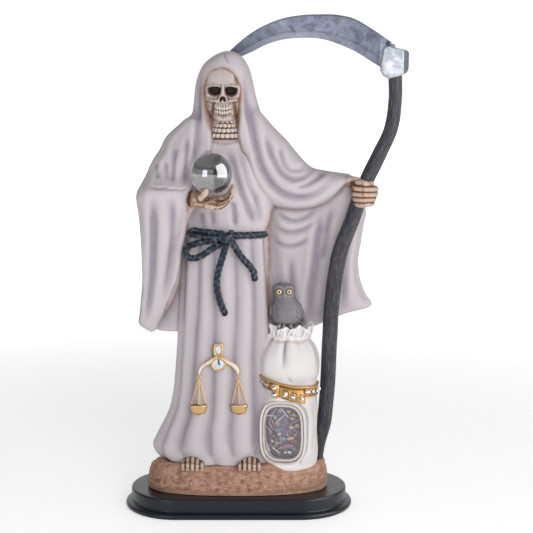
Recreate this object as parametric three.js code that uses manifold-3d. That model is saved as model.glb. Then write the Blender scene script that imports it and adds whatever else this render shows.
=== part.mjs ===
// A robed and hooded skeleton figure with a glass ball, a scythe, a money sack and an owl,
// cast in resin and standing on a lacquered wooden plinth. Millimetres, +Z up. The origin is
// the middle of the plinth's underside and the figure looks along -Y.
import * as THREE from "three";
import { mergeVertices } from "three/addons/utils/BufferGeometryUtils.js";
import Module from "manifold-3d";

const wasm = await Module();
wasm.setup();

// Driving dimensions
const FIGURE_HEIGHT = 270; // plinth's top to the tip of the hood
const FIT_GAP = 0.3; // between two pieces that touch
const PLINTH_LENGTH = 140.2; // over the moulded edge
const PLINTH_WIDTH = 82; // over the moulded edge
const PLINTH_HEIGHT = 12;
const PLINTH_STRAIGHT = 74; // straight stretch of the long edges
const PLINTH_EDGE_REACH = 3.4; // moulded edge beyond the upright face
const PLINTH_EDGE_HEIGHT = 4.6; // top of the moulded edge
const PLINTH_TOP_ROUND = 0.8; // rounding of the top's rim
const BALL_DIAMETER = 25;
const POLE_DIAMETER = 9.4; // at the fist
const POLE_TOP_DIAMETER = 8.4; // inside the blade's socket
const POLE_FOOT_DIAMETER = 6.4; // in the mound
const BLADE_BACK_THICKNESS = 4.4; // along the outer edge
const BLADE_EDGE_THICKNESS = 1.4; // along the inner, cutting edge
const SOCKET_WALL = 2; // round the pole's top
const SOCKET_BEVEL = 1; // along the socket's edges
const POLE_SEAT_DEPTH = 8; // how far the pole's top reaches into the socket
const WINDOW_WIDTH = 23.4;
const WINDOW_HEIGHT = 33.4;
const WINDOW_DEPTH = 7; // from its front to the bottom of its recess
const WINDOW_DOME = 1.6; // rise of its front over its edge
const WINDOW_RIM = 4; // thickness of the raised rim round it
const ROPE_DIAMETER = 4.1;
const STONE_DIAMETER = 2.6;
const STONE_HEIGHT = 1.5;
const BAND_WIDTH = 6.2; // of the gold band round the sack
const BAND_RISE = 1.1; // how far the band stands out of the sack
const STRAP_RISE = 1.9; // how far its loose end does
const OWL_HEIGHT = 26.4; // feet to the tips of its ear tufts

// Worked out from the driving dimensions
const SHARE = FIGURE_HEIGHT / 1000; // the free form is set out in thousandths of its height
const TURN = 2 * Math.PI;
const BALL_RADIUS = BALL_DIAMETER / 2;

// A place in the free form: across, away from the viewer and up, in thousandths
function at(x, y, z) {
  return new THREE.Vector3(x * SHARE, y * SHARE, PLINTH_HEIGHT + z * SHARE);
}

// Values that run smoothly through rows of [place, value, value, ...]
function along(rows, place) {
  let i = 0;
  while (i < rows.length - 2 && place > rows[i + 1][0]) i += 1;
  const start = rows[i];
  const end = rows[i + 1];
  const before = rows[Math.max(i - 1, 0)];
  const after = rows[Math.min(i + 2, rows.length - 1)];
  const span = end[0] - start[0];
  const t = THREE.MathUtils.clamp((place - start[0]) / span, 0, 1);
  const slope = (a, b, c) => ((b[c] - a[c]) / (b[0] - a[0])) * span;
  return start.slice(1).map((value, k) => {
    const c = k + 1;
    const out = slope(before, end, c);
    const into = slope(start, after, c);
    const rise = end[c] - value;
    const square = 3 * rise - 2 * out - into;
    const cube = out + into - 2 * rise;
    return value + t * (out + t * (square + t * cube));
  });
}

// The closed solid of a three.js geometry, with its faces pointing out
function solidOf(geometry) {
  geometry.deleteAttribute("normal");
  geometry.deleteAttribute("uv");
  const merged = mergeVertices(geometry, 1e-4);
  const spots = Float32Array.from(merged.attributes.position.array);
  const corner = (i) => new THREE.Vector3().fromArray(spots, 3 * i);
  const faces = [];
  let volume = 0;
  for (let i = 0; i < merged.index.count; i += 3) {
    const [a, b, c] = [0, 1, 2].map((k) => merged.index.getX(i + k));
    if (a !== b && b !== c && c !== a) {
      faces.push([a, b, c]);
      volume += corner(a).dot(corner(b).cross(corner(c)));
    }
  }
  const turned = volume < 0 ? faces.map(([a, b, c]) => [a, c, b]) : faces;
  const mesh = new wasm.Mesh({
    numProp: 3,
    vertProperties: spots,
    triVerts: Uint32Array.from(turned.flat()),
  });
  return new wasm.Manifold(mesh);
}

// A closed body through rings: place(side, ring) is a point of ring number ring
function loft(sides, rings, place) {
  const geometry = new THREE.CylinderGeometry(1, 1, 1, sides, rings - 1);
  const position = geometry.attributes.position;
  const middles = [0, rings - 1].map((ring) => {
    const sum = new THREE.Vector3();
    for (let side = 0; side < sides; side += 1) sum.add(place(side, ring));
    return sum.divideScalar(sides);
  });
  for (let i = 0; i < position.count; i += 1) {
    const x = position.getX(i);
    const z = position.getZ(i);
    const ring = Math.round((position.getY(i) + 0.5) * (rings - 1));
    const side = Math.round((Math.atan2(x, z) / TURN) * sides + sides) % sides;
    const spot = Math.hypot(x, z) > 0.5 ? place(side, ring) : middles[ring === 0 ? 0 : 1];
    position.setXYZ(i, spot.x, spot.y, spot.z);
  }
  return solidOf(geometry);
}

// A tube with round ends along a smooth curve; sizes are rows of [share of length, radius
// across, radius up], grown by extra
function tube(points, sizes, sides, steps, extra = 0) {
  const curve = new THREE.CatmullRomCurve3(points);
  const frames = curve.computeFrenetFrames(steps, false);
  return loft(sides, steps + 1, (side, ring) => {
    const t = ring / steps;
    const [across, up] = along(sizes, t);
    const angle = (side / sides) * TURN;
    return curve
      .getPointAt(t)
      .addScaledVector(frames.normals[ring], Math.cos(angle) * (across + extra))
      .addScaledVector(frames.binormals[ring], Math.sin(angle) * (up + extra));
  });
}

// A rounded lump: centre and half sizes, with an optional tilt about the viewing axis
function lump(centre, half, sides, rings, tilt = 0) {
  const geometry = new THREE.SphereGeometry(1, sides, rings);
  geometry.rotateX(Math.PI / 2);
  geometry.scale(half[0] * SHARE, half[1] * SHARE, half[2] * SHARE);
  geometry.rotateY(tilt);
  geometry.translate(centre.x, centre.y, centre.z);
  return solidOf(geometry);
}

// All of a list of solids joined into one
function joined(solids) {
  return solids.reduce((whole, next) => whole.add(next));
}

// Folds between creases at the given angles, each fold with the same number of steps
function foldsBetween(creases, steps) {
  return creases.flatMap((start, i) => {
    const next = i + 1 < creases.length ? creases[i + 1] : creases[0] + 360;
    return Array.from({ length: steps }, (_, k) => {
      const share = k / steps;
      const angle = THREE.MathUtils.degToRad(start + share * (next - start));
      const width = Math.min((next - start) / 30, 1);
      return { angle, lift: width * (Math.sin(Math.PI * share) ** 0.7 - 0.6) };
    });
  });
}

// A draped form: rows of [height, left, right, front, back, fold depth] and the folds round it
function drape(rows, folds, heights, squareness = 2) {
  return loft(folds.length, heights.length, (side, ring) => {
    const [left, right, front, back, depth] = along(rows, heights[ring]);
    const { angle, lift } = folds[side];
    const c = Math.cos(angle);
    const s = Math.sin(angle);
    const bow = (value) => Math.sign(value) * Math.abs(value) ** (2 / squareness);
    const x = (left + right) / 2 + ((right - left) / 2) * bow(c) + depth * lift * c;
    const y = (front + back) / 2 + ((back - front) / 2) * bow(s) + depth * lift * s;
    return at(x, y, heights[ring]);
  });
}

// Evenly spread heights between two ends
function spread(from, to, count) {
  return Array.from({ length: count }, (_, i) => from + ((to - from) * i) / (count - 1));
}

// Plain sides without folds, for drape
function plainSides(count) {
  return Array.from({ length: count }, (_, i) => ({ angle: (i / count) * TURN, lift: 0 }));
}

// The plinth: a board with straight long edges and elliptical ends, moulded round its foot
function makePlinth() {
  const endSteps = 12;
  const perEnd = endSteps + 1;
  const face = -PLINTH_EDGE_REACH;
  const step = PLINTH_EDGE_REACH / 2;
  const profile = [
    [0, -step / 2],
    [PLINTH_EDGE_HEIGHT * 0.12, 0],
    [PLINTH_EDGE_HEIGHT * 0.45, 0],
    [PLINTH_EDGE_HEIGHT * 0.6, -step],
    [PLINTH_EDGE_HEIGHT, face],
    [PLINTH_HEIGHT - PLINTH_TOP_ROUND, face],
    [PLINTH_HEIGHT, face - PLINTH_TOP_ROUND],
  ];
  return loft(2 * perEnd, profile.length, (side, ring) => {
    const [height, out] = profile[ring];
    const end = side < perEnd ? 1 : -1;
    const angle = ((side % perEnd) / endSteps - 0.5) * Math.PI;
    const endLength = (PLINTH_LENGTH - PLINTH_STRAIGHT) / 2 + out;
    const halfWidth = PLINTH_WIDTH / 2 + out;
    const x = end * (PLINTH_STRAIGHT / 2 + endLength * Math.cos(angle));
    return new THREE.Vector3(x, end * halfWidth * Math.sin(angle), height);
  });
}

// The earth mound, standing on the plinth with the fit gap under it
function makeMound() {
  const rows = [
    [0, 207, 115, -3],
    [22, 206, 113, -3],
    [48, 200, 107, -3],
    [62, 193, 100, -2],
    [70, 178, 88, -2],
  ];
  const sides = 28;
  const heights = [FIT_GAP / SHARE, 26, 56, 70];
  return loft(sides, heights.length, (side, ring) => {
    const angle = (side / sides) * TURN;
    const [halfLength, halfWidth, middle] = along(rows, heights[ring]);
    const knobs = 3 * Math.sin(5 * angle + 1) + 3 * Math.sin(9 * angle + ring);
    const chips = 2.2 * Math.sin(14 * angle + 2.4 * ring);
    const out = ring === 0 ? knobs / 2 : knobs + chips;
    const bump = ring > 2 ? 3 * Math.sin(7 * angle + 2) : 0;
    return at(
      middle + (halfLength + out) * Math.cos(angle),
      (halfWidth + out) * Math.sin(angle),
      heights[ring] + bump,
    );
  });
}

// A bare foot under the hem: upright sections from side to side, on a toe and between two by turns
function makeFoot(middle) {
  const toes = 5;
  const sections = 2 * toes + 1;
  return loft(5, sections, (side, ring) => {
    const onToe = ring % 2;
    const x = middle + 5.2 * (ring - toes);
    const reach = -98 - 13 * onToe + 1.5 * Math.abs(ring - toes);
    const top = 78 + 6 * onToe;
    const profile = [
      [-64, 60],
      [-64, top + 6],
      [reach + 16, top],
      [reach, 72],
      [reach + 3, 62],
    ];
    const [y, z] = profile[side];
    return at(x, y, z);
  });
}

// The gown's skirt, with deep folds from the hem up to the waist
function makeSkirt() {
  const rows = [
    [60, -190, 126, -90, 95, 20],
    [94, -196, 128, -94, 97, 20],
    [115, -182, 122, -91, 94, 19],
    [178, -155, 108, -85, 87, 17],
    [224, -146, 100, -81, 82, 15],
    [294, -140, 92, -78, 78, 13],
    [356, -136, 86, -76, 74, 12],
    [460, -131, 76, -72, 68, 10],
    [569, -125, 68, -64, 60, 7],
    [610, -124, 70, -64, 60, 6],
  ];
  const creases = [-160, -130, -101, -82, -59, -25, 10, 42, 72, 103, 134, 168];
  const heights = [60, 94, 130, 190, 270, 380, 500, 610];
  return drape(rows, foldsBetween(creases, 3), heights, 2.1);
}

// The gown's bodice, seen between the mantle's edges
function makeBodice() {
  const rows = [
    [590, -130, 66, -62, 56, 6],
    [650, -134, 84, -68, 60, 6],
    [720, -125, 92, -66, 60, 6],
    [780, -112, 60, -56, 55, 4],
    [830, -80, 20, -42, 50, 2],
  ];
  const creases = [-135, -112, -96, -80, -60, 0, 60, 120, 180];
  return drape(rows, foldsBetween(creases, 2), spread(590, 830, 4), 2.2);
}

// The hood and the shoulders of the mantle
function makeHood() {
  const rows = [
    [720, -150, 120, -58, 72, 4],
    [780, -150, 110, -60, 72, 4],
    [803, -140, 100, -60, 70, 4],
    [822, -130, 84, -60, 69, 3],
    [835, -122, 72, -59, 68, 2],
    [850, -106, 56, -59, 67, 0],
    [868, -101, 48, -60, 67, 0],
    [896, -98, 40, -61, 66, 0],
    [925, -94, 34, -60, 63, 0],
    [949, -86, 28, -57, 58, 0],
    [969, -72, 18, -50, 50, 0],
    [984, -52, 6, -38, 37, 0],
    [994, -32, -12, -14, 14, 0],
  ];
  const creases = [-145, -100, -62, -20, 20, 60, 95, 130, 175];
  const heights = [770, 805, 836, 852, 896, 930, 955, 975, 988, 994];
  return drape(rows, foldsBetween(creases, 2), heights, 2.2);
}

// What the mantle leaves open in front, from the face down to the breast
function makeOpening() {
  const rows = [
    [660, -128, 64, -190, -62, 0],
    [694, -108, 32, -190, -56, 0],
    [732, -84, 22, -190, -52, 0],
    [776, -70, 13, -190, -48, 0],
    [808, -65, 6, -190, -38, 0],
    [835, -63, 2, -190, -22, 0],
    [856, -68, 5, -190, -12, 0],
    [884, -72, 8, -190, -8, 0],
    [905, -74, 8, -190, -8, 0],
    [924, -71, 4, -190, -10, 0],
    [943, -62, -6, -190, -20, 0],
    [957, -40, -24, -190, -44, 0],
  ];
  const heights = [660, 710, 776, 812, 838, 880, 920, 945, 957];
  return drape(rows, plainSides(12), heights, 2.8);
}

// The sleeve on the viewer's left: it comes forward over the forearm and hangs to a point
function makeLeftSleeve() {
  const rows = [
    [362, -200, -190, -30, -4, 0],
    [378, -228, -180, -38, 10, 1],
    [391, -226, -172, -44, 18, 3],
    [430, -221, -150, -52, 24, 6],
    [468, -217, -137, -60, 28, 7],
    [506, -217, -128, -68, 30, 8],
    [553, -218, -121, -80, 32, 8],
    [615, -222, -112, -98, 36, 6],
    [650, -226, -108, -110, 38, 3],
    [676, -228, -106, -114, 40, 2],
    [700, -216, -104, -110, 42, 4],
    [719, -206, -94, -100, 45, 5],
    [751, -191, -78, -86, 48, 7],
    [773, -176, -70, -76, 50, 7],
    [803, -161, -64, -64, 52, 6],
    [833, -129, -62, -52, 50, 3],
    [850, -112, -66, -44, 45, 0],
  ];
  const heights = [362, 378, 410, 490, 580, 640, 678, 706, 750, 795, 836];
  const creases = [-165, -138, -110, -86, -60, -20, 40, 90, 140];
  return drape(rows, foldsBetween(creases, 2), heights, 2.4);
}

// The hollow of that sleeve below the forearm, open downwards and towards the gown
function makeLeftSleeveHollow() {
  const rows = [
    [340, -176, -60, -44, -14, 0],
    [400, -168, -60, -44, -12, 0],
    [500, -156, -60, -50, -12, 0],
    [580, -146, -60, -62, -12, 0],
    [640, -136, -80, -84, -24, 0],
  ];
  return drape(rows, plainSides(8), [340, 440, 560, 640], 3);
}

// The back of the mantle, hanging behind both arms
function makeBack() {
  const rows = [
    [356, -196, 60, 0, 74, 12],
    [372, -196, 120, 0, 76, 12],
    [400, -198, 180, -2, 78, 12],
    [460, -200, 190, -2, 78, 12],
    [560, -205, 192, -2, 78, 11],
    [650, -206, 190, -2, 80, 9],
    [720, -198, 150, -2, 80, 7],
    [780, -165, 112, -2, 76, 4],
    [820, -130, 78, 0, 70, 2],
  ];
  const creases = [-170, -90, -10, 26, 52, 77, 100, 125, 150];
  return drape(rows, foldsBetween(creases, 2), [356, 395, 500, 620, 740, 820], 2.6);
}

// The sleeve on the viewer's right, hanging from the outstretched arm
function makeRightSleeve() {
  const rows = [
    [347, 52, 64, 2, 36, 0],
    [365, 56, 168, 0, 42, 4],
    [380, 58, 205, -1, 44, 7],
    [397, 60, 250, -2, 46, 9],
    [411, 62, 302, -2, 48, 10],
    [441, 64, 289, -4, 48, 10],
    [475, 66, 277, -6, 46, 10],
    [517, 66, 272, -9, 44, 10],
    [567, 66, 279, -14, 42, 9],
    [600, 66, 284, -20, 40, 8],
    [635, 66, 290, -28, 38, 4],
    [670, 70, 272, -44, 34, 0],
    [700, 80, 262, -46, 28, 0],
    [718, 110, 254, -36, 18, 0],
  ];
  const creases = [-150, -112, -86, -58, -15, 30, 75, 115, 160];
  const heights = [347, 365, 381, 397, 411, 450, 550, 635, 670, 718];
  return drape(rows, foldsBetween(creases, 2), heights, 2.8);
}

// The mantle's swag over that arm: upright sections from the hood out to the wrist, with
// curved creases hanging between the two
function makeSwag() {
  const rows = [
    [2, 815, 880],
    [12, 776, 878],
    [27, 712, 872],
    [52, 668, 858],
    [82, 648, 824],
    [110, 643, 796],
    [136, 642, 764],
    [164, 645, 736],
    [196, 656, 728],
    [220, 674, 724],
    [240, 696, 721],
    [258, 706, 719],
  ];
  const sides = 16;
  const places = [2, 16, 34, 56, 84, 116, 150, 184, 216, 240, 258];
  return loft(sides, places.length, (side, ring) => {
    const x = places[ring];
    const [low, high] = along(rows, x);
    const angle = (side / sides) * TURN;
    const half = (high - low) / 2;
    const fall = (1 - Math.sin(angle)) / 2;
    const crease = Math.max(0, -Math.cos(angle)) * 7 * Math.cos(TURN * 2.5 * fall);
    const out = Math.sign(Math.cos(angle)) * Math.abs(Math.cos(angle)) ** 0.8;
    const y = -20 + 44 * out - crease - 6 * fall;
    return at(x, y, (low + high) / 2 + half * Math.sin(angle));
  });
}

// The bare skull, down to the chin, with its eye sockets and nose opened
function makeSkull() {
  const middle = -32;
  const rows = [
    [838, 12, -62, -30],
    [845, 21, -66, -22],
    [856, 25, -67, -18],
    [868, 28, -67, -12],
    [882, 37, -63, -2],
    [900, 40, -64, 4],
    [915, 39.5, -64, 6],
    [932, 34, -60, 4],
    [946, 25, -52, -4],
    [956, 10, -40, -18],
  ];
  const sides = 14;
  const heights = rows.map((row) => row[0]);
  const head = loft(sides, heights.length, (side, ring) => {
    const [half, front, back] = along(rows, heights[ring]);
    const angle = (side / sides) * TURN;
    const x = middle + half * Math.cos(angle);
    return at(x, (front + back) / 2 + ((back - front) / 2) * Math.sin(angle), heights[ring]);
  });
  const sockets = [-1, 1].map((s) => lump(at(middle + 18 * s, -64, 906), [12, 14, 9.5], 7, 5));
  const nose = lump(at(middle, -68, 887), [6, 9, 7], 5, 3);
  const mouth = lump(at(middle, -72, 864.5), [19, 9, 1.6], 6, 3);
  return [...sockets, nose, mouth].reduce((whole, cut) => whole.subtract(cut), head);
}

// The neck, ringed with beads and spreading over the breast
function makeNeck() {
  const rows = [
    [790, 30, -62, -10],
    [800, 31, -61, -10],
    [808, 28, -58, -10],
    [818, 24, -55, -10],
    [846, 21, -52, -10],
  ];
  const sides = 12;
  const heights = spread(790, 846, 5);
  return loft(sides, heights.length, (side, ring) => {
    const [half, front, back] = along(rows, heights[ring]);
    const bead = ring % 2 === 0 ? 1.6 : -1.6;
    const angle = (side / sides) * TURN;
    const x = -28 + (half + bead) * Math.cos(angle);
    return at(x, (front + back) / 2 + ((back - front) / 2 + bead) * Math.sin(angle), heights[ring]);
  });
}

// One finger through its points, with a round tip
function makeFinger(points, radius, steps) {
  const r = radius * SHARE;
  const sizes = [
    [0, r, r],
    [0.5, r * 1.05, r * 1.05],
    [0.85, r * 0.9, r * 0.9],
    [1, r * 0.4, r * 0.4],
  ];
  return tube(points, sizes, 5, steps);
}

// Where the ball sits: its underside on the palm and its back just clear of the breast
function ballCentre() {
  return at(-57, -76, 682).add(new THREE.Vector3(0, -BALL_RADIUS, BALL_RADIUS));
}

// The open hand under the ball: wrist, palm, four fingers curled up and the thumb in front
function makePalmHand() {
  const wrist = tube(
    [at(-132, -80, 672), at(-104, -104, 670), at(-82, -116, 668)],
    [
      [0, 18 * SHARE, 18 * SHARE],
      [1, 15 * SHARE, 13 * SHARE],
    ],
    8,
    2,
  );
  const palm = lump(at(-72, -120, 669), [32, 32, 15], 8, 5, -0.1);
  const fingers = [0, 1, 2, 3].map((k) => {
    const y = -146 + 16 * k;
    const reach = [-6, -2, 0, -6][k];
    const points = [at(-62, y, 668), at(-36, y, 667), at(-14, y + 2, 681), at(reach, y + 3, 702)];
    return makeFinger(points, 7.6, 3);
  });
  const thumb = makeFinger([at(-88, -140, 668), at(-74, -156, 678), at(-61, -160, 694)], 7.6, 2);
  return joined([wrist, palm, ...fingers, thumb]);
}

// The pole's centre line, with its knees and sweeps
function poleLine() {
  return [
    at(180, -10, 46),
    at(184, -14, 92),
    at(196, -22, 154),
    at(203, -32, 240),
    at(207, -40, 349),
    at(213, -46, 445),
    at(229, -50, 545),
    at(257, -53, 622),
    at(284, -50, 700),
    at(317, -40, 768),
    at(343, -28, 825),
    at(352, -18, 890),
    at(352, -14, 936),
  ];
}

// The pole, or with extra the clearance round it
function makePole(extra = 0) {
  const line = poleLine();
  const foot = line[0].clone().add(new THREE.Vector3(0, 0, -extra));
  const top = line[line.length - 1].clone();
  top.z += POLE_SEAT_DEPTH + extra;
  const points = [foot, ...line.slice(1), top];
  const sizes = [
    [0, POLE_FOOT_DIAMETER / 2, POLE_FOOT_DIAMETER / 2],
    [0.06, POLE_DIAMETER * 0.42, POLE_DIAMETER * 0.42],
    [0.12, POLE_DIAMETER * 0.5, POLE_DIAMETER * 0.5],
    [0.6, POLE_DIAMETER / 2, POLE_DIAMETER / 2],
    [0.94, POLE_TOP_DIAMETER / 2, POLE_TOP_DIAMETER / 2],
    [1, POLE_TOP_DIAMETER / 2, POLE_TOP_DIAMETER / 2],
  ];
  return tube(points, sizes, 8, 18, extra);
}

// The closed fist round the pole: four fingers one above another, the thumb over them, the wrist
function makeFist() {
  const rings = 9;
  const sides = 10;
  const hand = loft(sides, rings, (side, ring) => {
    const up = ring / (rings - 1);
    const angle = (side / sides) * TURN;
    const ridge = ring % 2 === 1 ? 1 : 0.86;
    const close = ring === 0 || ring === rings - 1 ? 0.8 : 1;
    const x = 274 + 18 * up + 29 * ridge * close * Math.cos(angle);
    return at(x, -48 + 30 * ridge * close * Math.sin(angle), 646 + 72 * up);
  });
  const wristSizes = [
    [0, 26 * SHARE, 26 * SHARE],
    [1, 24 * SHARE, 20 * SHARE],
  ];
  const wrist = tube([at(226, -26, 688), at(250, -30, 688), at(268, -38, 688)], wristSizes, 8, 1);
  const thumb = makeFinger([at(258, -40, 712), at(268, -66, 716), at(290, -74, 712)], 8.5, 3);
  return joined([hand, wrist, thumb]);
}

// The rope belt: across the front of the waist, a bow on the left of the knot and two hanging ends
function makeRope() {
  const radius = ROPE_DIAMETER / 2;
  const evenly = [
    [0, radius, radius],
    [1, radius, radius],
  ];
  const sides = 4;
  const belt = spread(-0.98, -0.06, 7).map((share) => {
    const angle = share * Math.PI;
    return at(-29 + 97 * Math.cos(angle), -4 + 70 * Math.sin(angle), 596 + 8 * Math.sin(angle));
  });
  const bow = [
    at(-30, -78, 583),
    at(-72, -80, 592),
    at(-106, -84, 578),
    at(-117, -86, 556),
    at(-98, -86, 539),
    at(-66, -84, 552),
    at(-32, -80, 576),
  ];
  const upperBow = [at(-28, -78, 586), at(-62, -84, 598), at(-100, -80, 598)];
  const leftEnd = [
    at(-24, -84, 580),
    at(-38, -82, 530),
    at(-46, -82, 482),
    at(-40, -84, 440),
    at(-25, -86, 404),
  ];
  const rightEnd = [at(-18, -84, 580), at(2, -80, 550), at(28, -82, 517), at(38, -82, 483)];
  const knot = lump(at(-24, -82, 582), [15, 12, 15], 7, 4);
  return joined([
    tube(belt, evenly, sides, 7),
    tube(bow, evenly, sides, 9),
    tube(upperBow, evenly, sides, 2),
    tube(leftEnd, evenly, sides, 5),
    tube(rightEnd, evenly, sides, 3),
    knot,
  ]);
}

// The pair of scales in relief on the skirt: hook, dial, beam, strings and two pans
function makeScales() {
  const bar = (points, radius, steps) =>
    tube(
      points,
      [
        [0, radius * SHARE, radius * SHARE],
        [1, radius * SHARE, radius * SHARE],
      ],
      4,
      steps,
    );
  const hook = new THREE.TorusGeometry(11 * SHARE, 2.6 * SHARE, 4, 7);
  hook.rotateX(Math.PI / 2);
  hook.scale(1, 3, 1);
  const hookSpot = at(-42, -80, 330);
  hook.translate(hookSpot.x, hookSpot.y, hookSpot.z);
  const dial = lump(at(-42, -84, 298), [17, 9, 17], 8, 3);
  const beamLine = [
    at(-88, -86, 268),
    at(-66, -88, 286),
    at(-42, -88, 292),
    at(-20, -88, 288),
    at(1, -88, 272),
  ];
  const beam = bar(beamLine, 4, 4);
  const sides = [
    { end: at(-88, -86, 266), pan: [-87, 203, 20] },
    { end: at(1, -88, 270), pan: [2, 205, 20] },
  ].flatMap(({ end, pan: [x, z, half] }) => [
    lump(at(x, -86, z - 10), [half, 9, 13], 8, 4),
    ...[-0.85, 0.85].map((k) => bar([end, at(x + half * k, -88, z - 4)], 1.6, 1)),
  ]);
  return joined([solidOf(hook), dial, beam, ...sides]);
}

// The sack's width from its foot to its mouth, as rows of [height, half width, half depth]
const SACK_ROWS = [
  [52, 52, 48],
  [66, 62, 56],
  [100, 66, 59],
  [150, 66, 60],
  [200, 66, 60],
  [244, 64, 57],
  [262, 64, 57],
  [292, 68, 61],
  [315, 65, 58],
  [335, 58, 50],
  [352, 45, 42],
];
const SACK_SIDES = 18; // facets round the sack
const SACK_AXIS = [115, -42]; // across the figure and away from the viewer
const SACK_TOP = 384; // the frill's level, where the owl sits
const BAND_STONES = [-152, -138, -52, -40, -28, -14]; // degrees round the sack
const STRAP_STONES = [0.36, 0.62, 0.88]; // shares of the loose end's length

// A point of the sack's skin at an angle and a height, pushed out by extra
function sackPoint(angle, height, extra = 0) {
  const [across, deep] = along(SACK_ROWS, height);
  return at(
    SACK_AXIS[0] + (across + extra) * Math.cos(angle),
    SACK_AXIS[1] + (deep + extra) * Math.sin(angle),
    height,
  );
}

// The money sack: tied body, frilled mouth, and the gold band round it
function makeSack() {
  const heights = [52, 66, 110, 180, 244, 280, 310, 335, 352];
  const body = loft(SACK_SIDES, heights.length, (side, ring) => {
    const angle = (side / SACK_SIDES) * TURN;
    const upper = heights[ring] > 270 && heights[ring] < 350;
    return sackPoint(angle, heights[ring], upper ? 2 * Math.sin(5 * angle) : 0);
  });
  const frillHeights = [346, 364, 385, 379];
  const frillHalf = [42, 50, 49, 34];
  const frillSides = 18;
  const frill = loft(frillSides, frillHeights.length, (side, ring) => {
    const angle = (side / frillSides) * TURN;
    const wave = ring * 1.3 * Math.sin(6 * angle);
    const half = frillHalf[ring] + wave;
    const rise = ring > 1 ? 3 * Math.cos(6 * angle + 1) : 0;
    return at(
      SACK_AXIS[0] + 3 + half * Math.cos(angle),
      SACK_AXIS[1] + 0.92 * half * Math.sin(angle),
      frillHeights[ring] + rise,
    );
  });
  return joined([body, frill, makeBand(), makeStrap()]);
}

// The middle height of the band at an angle round the sack: higher on the left, sagging in front
function bandMiddle(angle) {
  return 249 - 12 * Math.cos(angle) - 9 * Math.max(0, -Math.sin(angle));
}

// The gold band round the sack's waist
function makeBand() {
  const half = BAND_WIDTH / 2 / SHARE;
  const rise = BAND_RISE / SHARE;
  const rows = [
    [-half, -rise],
    [-half + 1, rise],
    [half - 1, rise],
    [half, -rise],
  ];
  return loft(SACK_SIDES, rows.length, (side, ring) => {
    const angle = (side / SACK_SIDES) * TURN;
    const [drop, proud] = rows[ring];
    return sackPoint(angle, bandMiddle(angle) + drop, proud);
  });
}

// The middle of the band's loose end, from the buckle at share 0 to its tip at share 1
function strapMiddle(share) {
  const angle = THREE.MathUtils.degToRad(-120 + 60 * share);
  return { angle, height: 240 - 22 * share };
}

// The band's loose end, lying over the band and the window's rim, and the buckle it comes from
function makeStrap() {
  const halves = [1, 1.1, 1.1, 1.1, 0.95, 0.45].map((k) => (k * BAND_WIDTH) / 2 / SHARE);
  const rise = STRAP_RISE / SHARE;
  const strap = loft(4, halves.length, (side, ring) => {
    const { angle, height } = strapMiddle(ring / (halves.length - 1));
    const up = side < 2 ? -1 : 1;
    const outer = side === 1 || side === 2;
    return sackPoint(angle, height + up * halves[ring], outer ? rise : -BAND_RISE / SHARE);
  });
  const { angle, height } = strapMiddle(0.04);
  return strap.add(lump(sackPoint(angle, height, 3), [12, rise, 18], 8, 5));
}

const WINDOW_SIDES = 16; // facets round the window's outline

// The window's outline, a rounded oblong in its own plane, grown by extra
function windowOutline(extra, sides, side) {
  const angle = (side / sides) * TURN;
  const bow = (value) => Math.sign(value) * Math.abs(value) ** 0.62;
  return [
    (WINDOW_WIDTH / 2 + extra) * bow(Math.cos(angle)),
    (WINDOW_HEIGHT / 2 + extra) * bow(Math.sin(angle)),
  ];
}

// A body with the window's outline: rows of [depth behind the front plane, extra round it]
function windowBody(rows, sides) {
  const spot = at(101, -99, 143);
  const facing = new THREE.Matrix4().makeRotationZ(-0.2);
  return loft(sides, rows.length, (side, ring) => {
    const [depth, extra] = rows[ring];
    const [x, z] = windowOutline(extra, sides, side);
    return new THREE.Vector3(x, depth, z).applyMatrix4(facing).add(spot);
  });
}

// The clear insert with its domed front
function makeWindow() {
  const rows = [
    [-WINDOW_DOME, -WINDOW_WIDTH * 0.26],
    [-WINDOW_DOME * 0.6, -WINDOW_WIDTH * 0.11],
    [0, 0],
    [WINDOW_DEPTH, 0],
  ];
  return windowBody(rows, WINDOW_SIDES);
}

// The raised rim round the window, and the recess that the insert sits in
function makeWindowRim() {
  const half = WINDOW_RIM / 2;
  return windowBody(
    [
      [-half * 0.8, half * 0.7],
      [-half * 0.5, half * 1.5],
      [half, WINDOW_RIM],
      [WINDOW_DEPTH + half, WINDOW_RIM],
    ],
    WINDOW_SIDES,
  );
}

function makeWindowRecess() {
  return windowBody(
    [
      [-2 * WINDOW_DEPTH, FIT_GAP],
      [WINDOW_DEPTH + FIT_GAP, FIT_GAP],
    ],
    WINDOW_SIDES,
  );
}

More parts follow.
